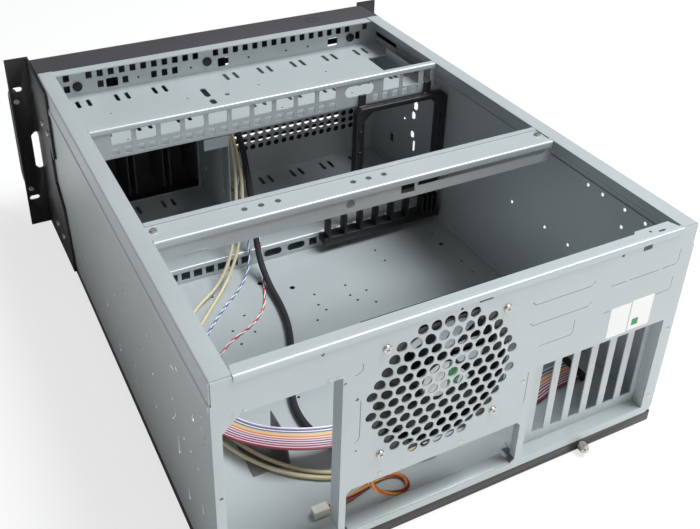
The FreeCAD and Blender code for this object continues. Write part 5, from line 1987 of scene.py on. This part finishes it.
    def flat_cable(self) -> None:
        """The ribbon: twenty wires side by side, level all along.
        """
        spots = self.flat.line(10)
        part = bmesh.new()
        uv = part.loops.layers.uv.new("along")
        facets = self.wires * self.lobe
        rows = []
        for k, spot in enumerate(spots):
            along = (spots[min(k + 1, len(spots) - 1)] - spots[max(k - 1, 0)]).normalized()
            across = along.cross(Vector((0, 0, 1))).normalized()
            up = across.cross(along).normalized()
            ring = []
            for sign, turns in ((1.0, range(facets + 1)), (-1.0, range(facets, -1, -1))):
                for s in turns:
                    u = s / facets
                    lift = (0.18 + 0.30 * abs(math.sin(math.pi * s / self.lobe))) * MM
                    place = spot + across * (u - 0.5) * self.ribbon + up * lift * sign
                    ring.append((part.verts.new(place), u))
            rows.append(ring)
        count = len(rows[0])
        for near, far in zip(rows, rows[1:]):
            for s in range(count):
                n = (s + 1) % count
                surface = part.faces.new((near[s][0], near[n][0], far[n][0], far[s][0]))
                middle = (near[s][1] + near[n][1]) / 2.0
                for loop in surface.loops:
                    loop[uv].uv = (middle, 0.0)
        part.faces.new([corner for corner, _ in rows[0]][::-1])
        part.faces.new([corner for corner, _ in rows[-1]])
        work = Work(self.flat.name)
        work.take(part, 0)
        piece = work.done("ribbon", nodes=("ribbon_cable",), smooth=80.0)
        self.flat.exit()
        self.flat.length()

    def build(self) -> None:
        """Makes the plugs and then every cable."""
        ends = self.plugs()
        self.usb_lead(self.usb_1, "usb_cable_1")
        self.usb_lead(self.usb_2, "usb_cable_2")
        self.sleeved_loom(ends["loom_plug"])
        for route, node, slot, turn, plug in (
            (self.blue, "blue_white_pair", "blue_wire", self.blue_turn, "blue_plug"),
            (self.red, "red_white_pair", "red_wire", self.red_turn, "red_plug"),
        ):
            self.strands(route, node, self.pair, slot, (slot, "white_wire"), turn, ends[plug])
        wires = (
            "yellow_wire", "orange_wire", "red_wire", "black_wire", "orange_wire",
            "yellow_wire", "red_wire", "orange_wire",
        )
        plug = ends["drive_connector"]
        self.strands(
            self.fan, "power_lead", self.lead, "orange_wire", wires, self.lead_turn, plug
        )
        self.flat_cable()


# ---------------------------------------------------------------- studio
@dataclass
class Studio:
    """Pale floor, soft lamps, white surround and the camera."""

    spot: Place = (0.3477, 0.7176, 0.6298)
    aim: Place = (-0.387, -0.775, -0.499)
    roll: float = 0.58
    lens: float = 46.2
    shift: Pair = (0.0553, -0.142)

    def camera(self) -> None:
        """The camera, at the height of someone standing behind the case."""
        data = bpy.data.cameras.new("camera")
        data.lens = self.lens
        data.sensor_width = 36.0
        data.shift_x, data.shift_y = self.shift
        data.clip_start = 0.01
        eye = bpy.data.objects.new("camera", data)
        turn = Vector(self.aim).to_track_quat("-Z", "Y").to_matrix().to_4x4()
        roll = Matrix.Rotation(math.radians(self.roll), 4, "Z")
        eye.matrix_world = Matrix.Translation(self.spot) @ turn @ roll
        bpy.context.scene.collection.objects.link(eye)
        bpy.context.scene.camera = eye

    def lamp(
        self, name: str, place: Place, aim: Place, size: float, power: float, colour: Place
    ) -> None:
        """One square soft lamp.

        Args:
            name: Its name.
            place: Where it hangs, in metres.
            aim: Where it points, in metres.
            size: Its side in metres.
            power: Its power in watts.
            colour: Its colour.
        """
        data = bpy.data.lights.new(name, "AREA")
        data.color = colour
        data.size = size
        data.energy = power
        lamp = bpy.data.objects.new(name, data)
        facing = (Vector(aim) - Vector(place)).to_track_quat("-Z", "Y")
        lamp.matrix_world = Matrix.Translation(place) @ facing.to_matrix().to_4x4()
        bpy.context.scene.collection.objects.link(lamp)

    def ground(self) -> None:
        """The pale floor, which keeps the case's shadow."""
        mesh = bpy.data.meshes.new("floor")
        part = bmesh.new()
        bmesh.ops.create_grid(part, x_segments=1, y_segments=1, size=12.0)
        bmesh.ops.translate(part, verts=part.verts[:], vec=(0.0, 0.0, -0.0005))
        part.to_mesh(mesh)
        part.free()
        coat = Coat("pale_floor")
        pale = coat.blend(coat.noise(3.0, 2.0), (0.9, 0.9, 0.9), (0.88, 0.88, 0.88))
        coat.set(Base_Color=pale, Roughness=0.9)
        camera = coat.node("ShaderNodeLightPath", {}, (), "Is Camera Ray")
        glow = coat.node("ShaderNodeEmission", {}, {"Color": (1.0, 1.0, 1.0), "Strength": 1.0})
        surface = Value(coat, coat.shader.outputs[0])
        mixed = coat.node("ShaderNodeMixShader", {}, (camera * 0.72, surface, glow))
        coat.feed(coat.tree.nodes["Material Output"].inputs[0], mixed)
        mesh.materials.append(coat.material)
        floor = bpy.data.objects.new("floor", mesh)
        bpy.context.scene.collection.objects.link(floor)

    def surround(self) -> None:
        """A white surround to look at and a softer one to be lit by."""
        world = bpy.data.worlds.new("surround")
        bpy.context.scene.world = world
        world.use_nodes = True
        nodes, links = world.node_tree.nodes, world.node_tree.links
        path = nodes.new("ShaderNodeLightPath")
        seen = nodes.new("ShaderNodeMath")
        seen.operation = "MAXIMUM"
        links.new(path.outputs["Is Camera Ray"], seen.inputs[0])
        links.new(path.outputs["Is Transmission Ray"], seen.inputs[1])
        level = nodes.new("ShaderNodeMapRange")
        level.inputs["To Min"].default_value = 0.2
        level.inputs["To Max"].default_value = 1.0
        links.new(seen.outputs[0], level.inputs["Value"])
        back = nodes["Background"]
        back.inputs["Color"].default_value = (1.0, 1.0, 1.0, 1.0)
        links.new(level.outputs["Result"], back.inputs["Strength"])

    def build(self) -> None:
        """Sets up the whole studio."""
        bpy.context.scene.view_settings.view_transform = "Standard"
        self.camera()
        self.ground()
        self.surround()
        self.lamp("key", (-1.3, 0.6, 3.0), (0.0, 0.0, 0.1), 1.4, 148.0, (0.95, 0.985, 1.0))
        self.lamp("fill", (-0.2, 2.9, 1.0), (0.0, 0.1, 0.1), 1.8, 15.0, (1.0, 0.92, 0.86))


def main() -> None:
    """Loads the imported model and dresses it."""
    logging.basicConfig(level=logging.INFO, format="%(name)s: %(message)s")
    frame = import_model()
    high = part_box("rear_panel")[1]
    Work.datum = Datum(high.x, high.y - Rear.bulge * MM, high.z)
    Work.shelf = Shelf()
    Studio().build()
    Harness().build()
    Rear().build()
    Shell().build()
    Cage().build()
    Front().build()
    Fasteners().build()
    Fan().build()
    for node, finish in (
        ("front_board", "board"),
        ("usb_sockets", "nickel"),
        ("led_lenses", "lens"),
        ("cable_tie", "white_plastic"),
    ):
        mesh = frame["nodes"][node].data
        mesh.materials.clear()
        mesh.materials.append(Work.shelf.made[finish])


if __name__ == "__main__":
    main()
